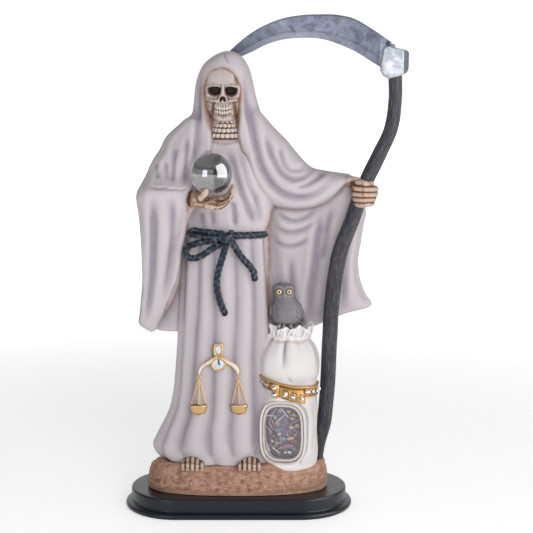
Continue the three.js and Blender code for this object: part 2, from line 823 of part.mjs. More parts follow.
// The owl: a plump body leaning a little back, two ear tufts and a short tail. It is drawn in
// thousandths of the figure and fitted to its own height.
function makeOwl() {
  const earTips = 98;
  const scale = OWL_HEIGHT / SHARE / earTips;
  const rows = [
    [0, 22, -26, 20],
    [8, 34, -38, 26],
    [24, 39, -42, 28],
    [42, 35, -40, 26],
    [56, 26, -34, 22],
    [72, 24, -34, 18],
    [84, 21, -30, 14],
    [92, 12, -22, 6],
  ];
  const heights = rows.map((row) => row[0]);
  const sides = 12;
  const place = (x, y, z) =>
    at(SACK_AXIS[0] + scale * x, SACK_AXIS[1] + scale * y, SACK_TOP + FIT_GAP / SHARE + scale * z);
  const body = loft(sides, heights.length, (side, ring) => {
    const [half, front, back] = along(rows, heights[ring]);
    const angle = (side / sides) * TURN;
    const x = (ring > 3 ? -8 : -2) + half * Math.cos(angle);
    const y = (front + back) / 2 + ((back - front) / 2) * Math.sin(angle);
    return place(x, y, heights[ring]);
  });
  const blob = (x, y, z, half, tilt) => {
    const size = half.map((value) => scale * value);
    return lump(place(x, y, z), size, 5, 3, tilt);
  };
  const tufts = [-1, 1].map((s) => blob(-8 + 19 * s, -14, 88, [5, 6, 9], 0.4 * s));
  const tail = blob(30, 8, 12, [18, 12, 12], 0.5);
  return joined([body, ...tufts, tail]);
}

// The blade: a crescent that thins to its inner edge and sweeps back behind the hood
function makeBladeCrescent() {
  const rows = [
    [-66, 938, 946, 78],
    [-52, 950, 965, 75],
    [-30, 964, 984, 69],
    [0, 980, 1011, 58],
    [30, 994, 1034, 46],
    [60, 1009, 1051, 34],
    [100, 1020, 1066, 18],
    [140, 1023, 1073, 8],
    [180, 1021, 1075, 0],
    [220, 1011, 1072, -6],
    [260, 996, 1064, -10],
    [300, 974, 1045, -13],
    [340, 955, 1014, -14],
  ];
  const places = [-66, -50, -25, 10, 45, 80, 120, 160, 200, 240, 280, 310, 340];
  const across = [
    [0, -0.5],
    [0.3, -0.5],
    [1, -0.5],
    [1, 0.5],
    [0.3, 0.5],
    [0, 0.5],
  ];
  return loft(across.length, places.length, (side, ring) => {
    const [inner, outer, depth] = along(rows, places[ring]);
    const [height, half] = across[side];
    const tip = Math.min(1, 0.35 + ring / 4);
    const thin = THREE.MathUtils.lerp(BLADE_EDGE_THICKNESS, BLADE_BACK_THICKNESS, height ** 0.7);
    const lean = (1 - height) * 6;
    const spot = at(places[ring] + lean, depth, inner + height * (outer - inner));
    spot.y += half * thin * tip * 2;
    return spot;
  });
}

// The socket at the blade's heel: a squared block with a cheek towards the blade
function makeSocket() {
  const depth = POLE_TOP_DIAMETER + 2 * FIT_GAP + 2 * SOCKET_WALL;
  const outline = [
    [318, 964],
    [320, 948],
    [328, 936],
    [338, 932],
    [352, 938],
    [368, 940],
    [380, 948],
    [384, 958],
    [384, 990],
    [378, 996],
    [350, 1004],
    [328, 1006],
  ];
  const shape = new THREE.Shape(outline.map(([x, z]) => new THREE.Vector2(x * SHARE, z * SHARE)));
  const geometry = new THREE.ExtrudeGeometry(shape, {
    depth: depth - 2 * SOCKET_BEVEL,
    bevelThickness: SOCKET_BEVEL,
    bevelSize: SOCKET_BEVEL,
    bevelOffset: -SOCKET_BEVEL,
    bevelSegments: 1,
  });
  geometry.rotateX(Math.PI / 2);
  const spot = at(0, -14, 0);
  geometry.translate(0, spot.y + depth / 2 - SOCKET_BEVEL, spot.z);
  return solidOf(geometry);
}

// A faceted stone with a flat back, table outwards, facing an angle round the sack
function makeStone(spot, angle) {
  const radius = STONE_DIAMETER / 2;
  const profile = [
    [0, -0.5],
    [0.55, -0.5],
    [1, 0.5],
    [0, 0.5],
  ].map(([r, h]) => new THREE.Vector2(r * radius, h * STONE_HEIGHT));
  const geometry = new THREE.LatheGeometry(profile, 6);
  geometry.rotateZ(Math.PI / 2);
  geometry.rotateZ(angle);
  geometry.translate(spot.x, spot.y, spot.z);
  return solidOf(geometry);
}

// The stones' places: on the band's two sides, on the buckle and along the loose end
function stonePlaces() {
  const lift = FIT_GAP + STONE_HEIGHT / 2;
  const onBandRise = (BAND_RISE + lift) / SHARE;
  const onStrapRise = (STRAP_RISE + lift) / SHARE;
  const onBand = BAND_STONES.map((degrees) => {
    const angle = THREE.MathUtils.degToRad(degrees);
    return { angle, spot: sackPoint(angle, bandMiddle(angle), onBandRise) };
  });
  const onStrap = STRAP_STONES.map((share) => {
    const { angle, height } = strapMiddle(share);
    return { angle, spot: sackPoint(angle, height, onStrapRise) };
  });
  const buckle = strapMiddle(0.04);
  const onBuckle = [-8, 8].map((up) => ({
    angle: buckle.angle,
    spot: sackPoint(buckle.angle, buckle.height + up, onStrapRise + 3),
  }));
  return [...onBand, ...onBuckle, ...onStrap];
}

// The casting: everything that was poured as one, less the seats of what is fitted to it
function makeFigure() {
  const mantle = joined([makeHood(), makeLeftSleeve(), makeSwag()])
    .subtract(makeOpening())
    .subtract(makeLeftSleeveHollow());
  const body = joined([
    makeMound(),
    makeFoot(-102),
    makeFoot(25),
    makeSkirt(),
    makeBodice(),
    makeBack(),
    makeRightSleeve(),
    mantle,
    makeSkull(),
    makeNeck(),
    makePalmHand(),
    makeFist(),
    makeRope(),
    makeScales(),
    makeSack(),
    makeWindowRim(),
  ]);
  const ball = ballCentre();
  const seat = new THREE.SphereGeometry(BALL_RADIUS + FIT_GAP, 14, 9);
  seat.translate(ball.x, ball.y, ball.z);
  const cuts = [solidOf(seat), makePole(FIT_GAP), makeWindowRecess()];
  return cuts.reduce((whole, cut) => whole.subtract(cut), body);
}

// The blade with its socket, bored for the pole's top
function makeBlade() {
  return makeBladeCrescent().add(makeSocket()).subtract(makePole(FIT_GAP));
}

function makeBall() {
  const geometry = new THREE.SphereGeometry(BALL_RADIUS, 14, 9);
  const { x, y, z } = ballCentre();
  geometry.translate(x, y, z);
  return solidOf(geometry);
}

const part = new THREE.Group();

// A named mesh of a solid, with its colour and finish
function addPiece(name, solid, color, roughness, metalness = 0) {
  const { vertProperties, triVerts } = solid.getMesh();
  const geometry = new THREE.BufferGeometry();
  geometry.setAttribute("position", new THREE.BufferAttribute(Float32Array.from(vertProperties), 3));
  geometry.setIndex(new THREE.BufferAttribute(Uint32Array.from(triVerts), 1));
  geometry.computeVertexNormals();
  const mesh = new THREE.Mesh(geometry, new THREE.MeshStandardMaterial({ color, roughness, metalness }));
  mesh.name = name;
  part.add(mesh);
}

addPiece("plinth", makePlinth(), 0x14171c, 0.3);
addPiece("figure", makeFigure(), 0xd9d2d6, 0.55);
addPiece("scythe_snath", makePole(), 0x45424a, 0.6);
addPiece("scythe_blade", makeBlade(), 0x8d92a6, 0.4, 0.4);
addPiece("crystal_ball", makeBall(), 0xf2f6f8, 0.02);
addPiece("owl", makeOwl(), 0x8c8b8d, 0.8);
addPiece("amulet_window", makeWindow(), 0xb9aec4, 0.08);
stonePlaces().forEach(({ spot, angle }, i) => {
  const name = `rhinestone_${String(i + 1).padStart(2, "0")}`;
  addPiece(name, makeStone(spot, angle), 0xe9f1f8, 0.05);
});

export default part;
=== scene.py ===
import math
import random

import bmesh
import bpy
import numpy as np
from mathutils import Matrix, Vector, noise


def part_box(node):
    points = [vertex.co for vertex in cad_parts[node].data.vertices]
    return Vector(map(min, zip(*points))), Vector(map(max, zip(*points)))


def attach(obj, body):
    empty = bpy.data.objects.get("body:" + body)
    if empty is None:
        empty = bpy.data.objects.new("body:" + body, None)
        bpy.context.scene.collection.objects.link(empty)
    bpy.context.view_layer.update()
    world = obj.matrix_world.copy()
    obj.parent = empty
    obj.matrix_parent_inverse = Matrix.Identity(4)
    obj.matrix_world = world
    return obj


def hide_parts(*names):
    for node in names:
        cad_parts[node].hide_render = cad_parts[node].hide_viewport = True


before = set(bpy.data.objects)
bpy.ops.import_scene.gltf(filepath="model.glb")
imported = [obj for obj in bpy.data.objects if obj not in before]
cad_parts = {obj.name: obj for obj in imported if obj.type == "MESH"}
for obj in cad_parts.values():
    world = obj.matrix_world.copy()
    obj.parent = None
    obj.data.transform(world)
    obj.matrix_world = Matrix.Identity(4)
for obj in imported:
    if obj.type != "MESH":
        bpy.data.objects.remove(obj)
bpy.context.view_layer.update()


# Camera: a long lens as high as the hood's top, looking slightly down at the figure's middle.
EYE = Vector((0.0173, -1.05, 0.290))
AIM = Vector((0.0173, 0.0, 0.14892))
lens = bpy.data.cameras.new("camera")
lens.sensor_width = 36
lens.lens = 116.46
camera = bpy.data.objects.new("camera", lens)
camera.location = EYE
camera.rotation_mode = "QUATERNION"
camera.rotation_quaternion = (AIM - EYE).to_track_quat("-Z", "Y")
bpy.context.scene.collection.objects.link(camera)
bpy.context.scene.camera = camera


# Gown: the figure's inner robe, a fluted skirt from the hem to the waist and a bodice above it.
# Cast resin, painted pearly white with lilac washed into the folds, over it painted shade in the creases
# and painted highlights on the ridges. Both parts are grids moved round the body, with folds between
# creases whose angles change with the height.
TAU = 2 * math.pi
SHARE = 0.00027  # a thousandth of the figure, from the plinth's top to the hood's tip
PLINTH_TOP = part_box("plinth")[1].z


def at(x, y, z):
    """A place in metres from thousandths of the figure: across, away from the viewer and up."""
    x, y, z = np.broadcast_arrays(x, y, z)
    return np.stack([x * SHARE, y * SHARE, PLINTH_TOP + z * SHARE], axis=-1)


def thousandths(co):
    """Places in metres turned back into thousandths: across, away from the viewer and up."""
    return co[:, 0] / SHARE, co[:, 1] / SHARE, (co[:, 2] - PLINTH_TOP) / SHARE


def along(rows, places):
    """Values that run smoothly through rows of [place, value, value, ...]."""
    rows = np.asarray(rows, float)
    places = np.asarray(places, float)
    key, value = rows[:, 0], rows[:, 1:]
    i = np.clip(np.searchsorted(key, places, side="right") - 1, 0, len(key) - 2)
    before, after = np.maximum(i - 1, 0), np.minimum(i + 2, len(key) - 1)
    span = (key[i + 1] - key[i])[..., None]
    t = np.clip((places - key[i])[..., None] / span, 0, 1)
    out = (value[i + 1] - value[before]) / (key[i + 1] - key[before])[..., None] * span
    into = (value[after] - value[i]) / (key[after] - key[i])[..., None] * span
    rise = value[i + 1] - value[i]
    return value[i] + t * (out + t * (3 * rise - 2 * out - into + t * (out + into - 2 * rise)))


def within(rows, v):
    """The place that is v of the way from the rows' first to their last."""
    return rows[0][0] + (rows[-1][0] - rows[0][0]) * v


def boxy(value, power):
    """A cosine or sine raised to a power under 1, its sign kept, which squares a round section."""
    return np.sign(value) * np.abs(value) ** power


def bell(value, width):
    """1 at nought, falling away smoothly on both sides."""
    return np.exp(-((value / width) ** 2))


def skin(columns, rows, place):
    """A grid moved to place(around, along), its seam welded and its open ends filled."""
    bm = bmesh.new()
    bmesh.ops.create_grid(bm, x_segments=columns, y_segments=rows, size=0.5)
    mesh = bpy.data.meshes.new("skin")
    bm.to_mesh(mesh)
    co = np.empty(3 * len(mesh.vertices))
    mesh.vertices.foreach_get("co", co)
    mesh.vertices.foreach_set("co", place(co[0::3] + 0.5, co[1::3] + 0.5).ravel())
    bm.clear()
    bm.from_mesh(mesh)
    bpy.data.meshes.remove(mesh)
    bmesh.ops.remove_doubles(bm, verts=bm.verts, dist=2e-6)
    rim = [edge for edge in bm.edges if edge.is_boundary]
    if rim:
        bmesh.ops.poke(bm, faces=bmesh.ops.holes_fill(bm, edges=rim, sides=0)["faces"])
    bmesh.ops.recalc_face_normals(bm, faces=bm.faces)
    return bm


def gathered(parts):
    """One mesh of several bmeshes, which are used up."""
    whole = bmesh.new()
    for bm in parts:
        mesh = bpy.data.meshes.new("part")
        bm.to_mesh(mesh)
        whole.from_mesh(mesh)
        bm.free()
        bpy.data.meshes.remove(mesh)
    mesh = bpy.data.meshes.new("gathered")
    whole.to_mesh(mesh)
    whole.free()
    return mesh


def steady(*angles):
    """Creases that keep their angles all the way up."""
    return [[0, *angles], [1000, *angles]]


def drape(rows, creases, span, columns, levels, squareness):
    """A draped form: rows of [height, left, right, front, back, fold depth], and the creases'
    angles in rows of [height, angle, angle, ...]."""

    def place(u, v):
        height = span[0] + (span[1] - span[0]) * v
        left, right, front, back, depth = along(rows, height).T
        lines = along(creases, height)
        angle = lines[:, 0] + 360 * u
        lines = np.column_stack([lines, lines[:, 0] + 360])
        fold = np.clip((angle[:, None] >= lines).sum(axis=1) - 1, 0, lines.shape[1] - 2)
        each = np.arange(len(fold))
        start, end = lines[each, fold], lines[each, fold + 1]
        hump = np.sin(np.pi * np.clip((angle - start) / (end - start), 0, 1)) ** 1.3
        lift = np.minimum((end - start) / 30, 1) * (hump - 0.6) * depth
        c, s = np.cos(np.radians(angle)), np.sin(np.radians(angle))
        power = 2 / squareness
        x = (left + right) / 2 + (right - left) / 2 * boxy(c, power) + lift * c
        y = (front + back) / 2 + (back - front) / 2 * boxy(s, power) + lift * s
        return at(x, y, height)

    return skin(columns, levels, place)


def spots_of(mesh):
    """The vertices' places and normals, and the edges, as arrays."""
    co = np.empty(3 * len(mesh.vertices))
    mesh.vertices.foreach_get("co", co)
    normals = np.empty(3 * len(mesh.vertices))
    mesh.vertices.foreach_get("normal", normals)
    edges = np.empty(2 * len(mesh.edges), int)
    mesh.edges.foreach_get("vertices", edges)
    return co.reshape(-1, 3), normals.reshape(-1, 3), edges.reshape(-1, 2)


def move(mesh, co):
    """Moves the vertices to new places."""
    mesh.vertices.foreach_set("co", co.ravel())
    mesh.update()


def relaxed(co, edges, rounds, share=0.5):
    """The places after so many rounds of moving each towards the middle of its neighbours."""
    a, b = np.concatenate([edges[:, 0], edges[:, 1]]), np.concatenate([edges[:, 1], edges[:, 0]])
    count = np.maximum(np.bincount(a, minlength=len(co)), 1)
    for _ in range(rounds):
        middle = [np.bincount(a, co[b, k], len(co)) / count for k in range(co.shape[1])]
        co = co + share * (np.stack(middle, axis=1) - co)
    return co


def near_line(co, points, count=60):
    """Seen from the front: each place's signed distance to a smooth line of (x, z) points, in
    thousandths, and how far along the line it is, from 0 to 1."""
    points = np.asarray(points, float)
    steps = np.concatenate([[0], np.cumsum(np.hypot(*np.diff(points, axis=0).T))])
    line = along(np.column_stack([steps, points]), np.linspace(0, steps[-1], count))
    x, _, z = thousandths(co)
    best = np.full(len(co), 1e9)
    place = np.zeros(len(co))
    for i in range(count - 1):
        (ax, az), (bx, bz) = line[i], line[i + 1]
        dx, dz = bx - ax, bz - az
        t = np.clip(((x - ax) * dx + (z - az) * dz) / (dx * dx + dz * dz), 0, 1)
        gap = np.hypot(x - ax - t * dx, z - az - t * dz)
        signed = gap * np.where(dx * (z - az) - dz * (x - ax) > 0, 1, -1)
        closer = gap < np.abs(best)
        best = np.where(closer, signed, best)
        place = np.where(closer, (i + t) / (count - 1), place)
    return best, place


def creased(mesh, strokes):
    """Carves creases into a mesh as seen from the front, and returns how far each vertex lies in one, as
    lilac wash with painted shade, and on a ridge beside it, as a painted highlight. A stroke is
    (points, width, depth, ridge on its left, on its right)."""
    co, normals, edges = spots_of(mesh)
    front = np.clip((-normals[:, 1] - 0.05) / 0.35, 0, 1)
    mask, light = np.zeros(len(co)), np.zeros(len(co))
    for points, width, depth, left, right in strokes:
        d, t = near_line(co, points)
        fade = np.clip(np.minimum(t, 1 - t) / 0.24, 0, 1)
        fade = fade * fade * (3 - 2 * fade)
        width = 0.85 * width
        valley = 0.62 * bell(d, width) + 0.38 * bell(d, 2.4 * width)
        ridge = left * bell(d - 1.9 * width, width) + right * bell(d + 1.9 * width, width)
        co = co + normals * (front * fade * depth * SHARE * (ridge - valley))[:, None]
        # Painted shade: a crisp dark core in the crease and a soft shadow spread to its right.
        wash = 0.5 * bell(d, 0.6 * width) + 0.26 * bell(d + 0.9 * width, 2.3 * width)
        mask = np.maximum(mask, front * fade * wash * min(depth / 6, 1))
        # Painted highlight on the ridges beside the crease.
        light = np.maximum(light, front * fade * ridge)
    move(mesh, relaxed(co, edges, 1, 0.4))
    return mask, light


def hollows(mesh, rounds):
    """How far each vertex lies under its smoothed surroundings, in metres."""
    co, normals, edges = spots_of(mesh)
    return np.einsum("ij,ij->i", relaxed(co, edges, rounds) - co, normals)


def note(mesh, name, values):
    """Keeps values on the mesh for its material."""
    layer = mesh.attributes.new(name, "FLOAT", "POINT")
    layer.data.foreach_set("value", np.clip(values, -1, 1).astype(np.float32))


def brown_lines(mesh, lines):
    """Brown wash along lines seen from the front: (points, width, strength, nearest, farthest)."""
    co, _, _ = spots_of(mesh)
    _, y, _ = thousandths(co)
    wash = np.zeros(len(co))
    for points, width, strength, near, far in lines:
        d, t = near_line(co, points, 40)
        inside = (y > near) & (y < far)
        fade = np.clip(np.minimum(t, 1 - t) / 0.08, 0, 1)
        wash = np.maximum(wash, strength * fade * bell(d, width) * inside)
    return wash


class Paint:
    """A material and short ways to add nodes to it."""

    def __init__(self, name, **values):
        self.material = bpy.data.materials.new(name)
        self.material.use_nodes = True
        self.nodes = self.material.node_tree.nodes
        self.links = self.material.node_tree.links
        self.shader = self.nodes["Principled BSDF"]
        self.bumped = None
        for key, value in values.items():
            self.shader.inputs[key.replace("_", " ")].default_value = value

    def node(self, kind, inputs=(), **settings):
        """A new node with those settings, and its inputs fed."""
        node = self.nodes.new(kind)
        for key, value in settings.items():
            setattr(node, key, value)
        for key, value in dict(inputs).items():
            self.feed(node.inputs[key], value)
        return node

    def feed(self, socket, value):
        """Links a socket to an input, or sets it to a plain value."""
        if isinstance(value, bpy.types.NodeSocket):
            self.links.new(value, socket)
        elif isinstance(value, tuple) and len(value) == 3 and socket.type == "RGBA":
            socket.default_value = (*value, 1)
        else:
            socket.default_value = value

    def place(self, stretch=(1, 1, 1)):
        """The object's own coordinates."""
        source = self.node("ShaderNodeTexCoord").outputs["Object"]
        if stretch == (1, 1, 1):
            return source
        return self.node("ShaderNodeMapping", {"Vector": source, "Scale": stretch}).outputs[0]

    def noise(self, scale, detail=4, rough=0.55, stretch=(1, 1, 1), twist=0.0):
        """Cloudy noise from 0 to 1, so many clouds to the metre."""
        inputs = {"Vector": self.place(stretch), "Scale": scale, "Detail": detail}
        inputs.update({"Roughness": rough, "Distortion": twist})
        return self.node("ShaderNodeTexNoise", inputs).outputs["Fac"]

    def held(self, name):
        """Values kept on the mesh by note."""
        return self.node("ShaderNodeAttribute", attribute_name=name).outputs["Fac"]

    def times(self, a, b):
        """One value times another."""
        return self.node("ShaderNodeMath", {0: a, 1: b}, operation="MULTIPLY").outputs[0]

    def rise(self, value, low, high, out=(0.0, 1.0)):
        """A smooth step from out's first to its second as the value goes from low to high."""
        inputs = {"Value": value, "From Min": low, "From Max": high}
        inputs.update({"To Min": out[0], "To Max": out[1]})
        return self.node("ShaderNodeMapRange", inputs, interpolation_type="SMOOTHSTEP").outputs[0]

    def mix(self, share, a, b):
        """The colour a, with so large a share of b in it."""
        node = self.node("ShaderNodeMix", data_type="RGBA")
        self.feed(node.inputs[0], share)
        self.feed(node.inputs[6], a)
        self.feed(node.inputs[7], b)
        return node.outputs[2]

    def bump(self, height, strength, distance):
        """Fine relief in the paint, over any that is there already."""
        inputs = {"Height": height, "Strength": strength, "Distance": distance}
        if self.bumped is not None:
            inputs["Normal"] = self.bumped
        self.bumped = self.node("ShaderNodeBump", inputs).outputs[0]
        self.feed(self.shader.inputs["Normal"], self.bumped)

    def set(self, **values):
        """Feeds the shader's own inputs."""
        for key, value in values.items():
            self.feed(self.shader.inputs[key.replace("_", " ")], value)


def piece(name, mesh, paint, node):
    """A finished piece: riding on the body, in its paint, in place of a CAD node."""
    mesh.name = name
    mesh.materials.clear()
    mesh.materials.append(paint.material)
    mesh.polygons.foreach_set("use_smooth", [True] * len(mesh.polygons))
    made = bpy.data.objects.new(name, mesh)
    bpy.context.scene.collection.objects.link(made)
    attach(made, "root")
    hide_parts(node)


def robe_paint(name, low=(0.435, 0.388, 0.408), high=(0.465, 0.426, 0.446)):
    """Pearly white resin paint: lilac in the creases, partly wash and partly painted shade, painted
    highlights on the ridges, and brown along some edges, partly painted shadow.
    """
    paint = Paint(name, Roughness=0.55, Specular_IOR_Level=0.2)
    base = paint.mix(paint.noise(38, 3), low, high)
    # Lilac where shade is noted: the figure's lilac wash, with painted shade in the creases and hollows.
    lilac = paint.times(paint.held("shade"), paint.rise(paint.noise(120, 4), 0.2, 0.8, (0.75, 1.1)))
    colour = paint.mix(lilac, base, (0.275, 0.235, 0.285))
    # Painted highlight: paler on the crests and beside the creases.
    ridge_highlight = paint.rise(paint.held("ridge"), 0.1, 1.0, (0.0, 0.75))
    colour = paint.mix(ridge_highlight, colour, tuple(1.16 * c for c in high))
    # Brown along the noted edges; in the gaps beside the neck and at the cuff it is painted shadow.
    wash = paint.times(paint.held("brown"), paint.rise(paint.noise(260, 3), 0.2, 0.6, (0.55, 1.0)))
    colour = paint.mix(wash, colour, (0.23, 0.105, 0.05))
    paint.set(Base_Color=colour)
    paint.bump(paint.noise(900, 3), 0.12, 0.0002)
    paint.bump(paint.noise(160, 4), 0.10, 0.0006)
    return paint


SKIRT_ROWS = [
    [60, -163, 124, -88, 93, 10],
    [69, -178, 126, -91, 95, 12],
    [84, -189, 127, -93, 96, 13],
    [100, -192, 127, -94, 97, 13],
    [120, -183, 121, -91, 94, 13],
    [178, -155, 108, -85, 87, 12],
    [224, -145, 100, -81, 82, 11],
    [294, -139, 92, -78, 78, 10],
    [356, -135, 86, -76, 74, 9.5],
    [460, -130, 76, -72, 68, 9],
    [569, -125, 68, -64, 60, 7],
    [610, -124, 70, -64, 60, 6],
]
SKIRT_CREASES = [
    [58, -158, -129, -99, -83, -63, -30, 10, 42, 72, 103, 134, 168],
    [94, -158, -129, -99, -84, -64, -30, 10, 42, 72, 103, 134, 168],
    [158, -160, -133, -104, -88, -62, -28, 10, 42, 72, 103, 134, 168],
    [310, -160, -132, -104, -84, -59, -25, 10, 42, 72, 103, 134, 168],
    [442, -160, -127, -104, -77, -51, -22, 10, 42, 72, 103, 134, 168],
    [610, -160, -126, -106, -76, -51, -22, 10, 42, 72, 103, 134, 168],
]
BODICE_ROWS = [
    [588, -130, 66, -62, 56, 5],
    [650, -134, 84, -68, 60, 5],
    [720, -125, 92, -66, 60, 5],
    [780, -112, 60, -56, 55, 3],
    [800, -88, 32, -52, 52, 2],
    [812, -66, 8, -40, 50, 2],
]
BODICE_CREASES = steady(-150, -128, -60, 0, 60, 120, 180)
BODICE_STROKES = [
    ([(-26, 785), (-21, 779), (-4, 719), (6, 687), (18, 659), (30, 630), (40, 600)], 10.2, 6.5, 0.48, 0.48),
    ([(-58, 645), (-54, 620), (-55, 596)], 8.5, 4.5, 0.32, 0.32),
    ([(-11, 670), (-8, 629), (-6, 596)], 7.6, 5.2, 0.4, 0.4),
    ([(-63, 806), (-66, 760)], 6.8, 3.9, 0.24, 0.24),
    ([(-80, 640), (-82, 596)], 8.5, 3.9, 0.24, 0.24),
    ([(-2, 790), (10, 740), (22, 700), (40, 660), (56, 600)], 8.5, 4.5, 0.48, 0.16),
]
skirt = drape(SKIRT_ROWS, SKIRT_CREASES, (60, 606), 260, 150, 2.1)
bodice = drape(BODICE_ROWS, BODICE_CREASES, (588, 812), 200, 70, 2.6)
gown = gathered([skirt, bodice])
depth, light = creased(gown, BODICE_STROKES)
fine, broad = hollows(gown, 6), hollows(gown, 60)
# shade: lilac wash in the carved creases and hollows, partly painted shade; ridge: painted highlight on the
# crests and beside the creases.
note(gown, "shade", 0.75 * depth + np.clip(fine / 0.00014, 0, 1) * 0.1 + np.clip(broad / 0.0007, 0, 0.7))
note(gown, "ridge", np.clip(-broad / 0.0006, 0, 0.8) + 0.6 * light)
# Brown along the robe's right edge, the waist and the hem; the band down the left side under the sleeve and
# the line under the neck beads are painted shadow.
note(gown, "brown", brown_lines(gown, [
    ([(78, 660), (76, 627), (72, 608), (66, 597), (70, 569), (69, 467), (70, 381)], 5, 0.75, -90, 60),
    ([(-150, 640), (-134, 560), (-136, 470), (-146, 420), (-150, 380)], 9, 0.5, -60, 30),
    ([(-62, 797), (-30, 789), (6, 797)], 4, 0.6, -90, 0),
    ([(-60, 597), (0, 590), (60, 592)], 4, 0.3, -120, 0),
    ([(-200, 62), (-100, 60), (0, 60), (130, 62)], 5, 0.55, -140, 60),
]))
piece("gown", gown, robe_paint("gown paint"), "figure")


# Mantle: hood, shoulders, both hanging sleeves and the swag over the outstretched arm. The same
# painted resin. Overlapping draped forms are fused by a voxel remesh, the face opening and the
# left sleeve's hollow are cut out, and the creases are carved after the photograph's.
HOOD_ROWS = [
    [720, -150, 120, -64, 72, 4],
    [780, -150, 110, -68, 72, 4],
    [803, -140, 100, -69, 70, 4],
    [822, -130, 84, -68, 69, 3],
    [835, -122, 72, -66, 68, 2],
    [850, -106, 56, -64, 67, 0],
    [868, -101, 48, -63, 67, 0],
    [896, -98, 40, -62, 66, 0],
    [925, -94, 34, -60, 63, 0],
    [949, -86, 28, -56, 58, 0],
    [969, -73, 19, -47, 50, 0],
    [982, -56, 9, -38, 40, 0],
    [988, -46, 1, -30, 31, 0],
    [992, -36, -7, -20, 20, 0],
    [994.5, -26, -15, -8, 8, 0],
]
OPENING_ROWS = [
    [660, -112, 66, -190, -40, 0],
    [676, -108, 50, -190, -37, 0],
    [694, -103, 33, -190, -34, 0],
    [732, -80, 22, -190, -32, 0],
    [776, -66, 13, -190, -34, 0],
    [808, -63, 6, -190, -34, 0],
    [835, -67, 4, -190, -32, 0],
    [856, -69, 3, -190, -26, 0],
    [884, -74, 5, -190, -14, 0],
    [905, -75.5, 6, -190, -8, 0],
    [920, -73, 4, -190, -8, 0],
    [932, -69, -1, -190, -10, 0],
    [942, -62, -9, -190, -12, 0],
    [949.5, -54, -18, -190, -14, 0],
    [954, -46, -27, -190, -18, 0],
    [956, -41, -33, -190, -22, 0],
]
LEFT_SLEEVE_ROWS = [
    [360, -201, -189, -30, -4, 0],
    [378, -228, -180, -38, 10, 1],
    [391, -226, -172, -44, 18, 3],
    [430, -221, -150, -52, 24, 6],
    [468, -217, -137, -60, 28, 7],
    [506, -217, -128, -68, 30, 8],
    [553, -218, -119, -80, 32, 8],
    [615, -222, -102, -98, 36, 6],
    [650, -226, -91, -114, 38, 3],
    [676, -228, -89, -121, 40, 2],
    [692, -221, -88, -119, 41, 3],
    [700, -216, -91, -110, 42, 4],
    [719, -206, -94, -96, 45, 5],
    [751, -191, -78, -86, 48, 6],
    [773, -176, -70, -78, 50, 6],
    [803, -161, -64, -66, 52, 5],
    [833, -129, -62, -56, 50, 3],
    [850, -112, -66, -46, 45, 0],
]
HOLLOW_ROWS = [
    [340, -178, -60, -48, -12, 0],
    [400, -170, -60, -48, -10, 0],
    [500, -158, -60, -52, -10, 0],
    [580, -146, -60, -64, -10, 0],
    [640, -136, -80, -84, -24, 0],
]
BACK_ROWS = [
    [356, -196, 60, 0, 74, 12],
    [372, -196, 120, 0, 76, 12],
    [400, -198, 180, -2, 78, 12],
    [460, -200, 190, -2, 78, 12],
    [560, -205, 192, -2, 78, 11],
    [650, -206, 190, -2, 80, 9],
    [720, -198, 150, -2, 80, 7],
    [780, -165, 112, -2, 76, 4],
    [820, -130, 78, 0, 70, 2],
]
RIGHT_SLEEVE_ROWS = [
    [347, 52, 64, 2, 36, 0],
    [365, 56, 168, 0, 42, 4],
    [380, 58, 205, -1, 44, 7],
    [397, 60, 250, -2, 46, 9],
    [411, 62, 302, -2, 48, 10],
    [441, 64, 289, -4, 48, 10],
    [475, 66, 277, -6, 46, 10],
    [517, 66, 272, -9, 44, 10],
    [567, 66, 279, -14, 42, 9],
    [600, 66, 284, -20, 40, 8],
    [635, 66, 290, -28, 38, 4],
    [670, 70, 272, -44, 34, 0],
    [700, 80, 262, -46, 28, 0],
    [718, 110, 254, -36, 18, 0],
]
SWAG_ROWS = [
    [2, 815, 880],
    [12, 776, 878],
    [27, 712, 872],
    [52, 668, 858],
    [82, 648, 824],
    [110, 642, 796],
    [136, 641, 764],
    [164, 644, 736],
    [196, 656, 728],
    [220, 674, 724],
    [240, 696, 721],
    [258, 706, 719],
]
PLAIN = steady(-180, -90, 0, 90)
HOOD_CREASES = steady(-150, -116, -62, 0, 60, 90, 125, 165)
LEFT_CREASES = steady(-165, -135, -108, -60, -20, 40, 90, 140)
BACK_CREASES = steady(-170, -90, -10, 26, 52, 77, 100, 125, 150)
RIGHT_CREASES = steady(-150, -86, -15, 30, 75, 115, 160)
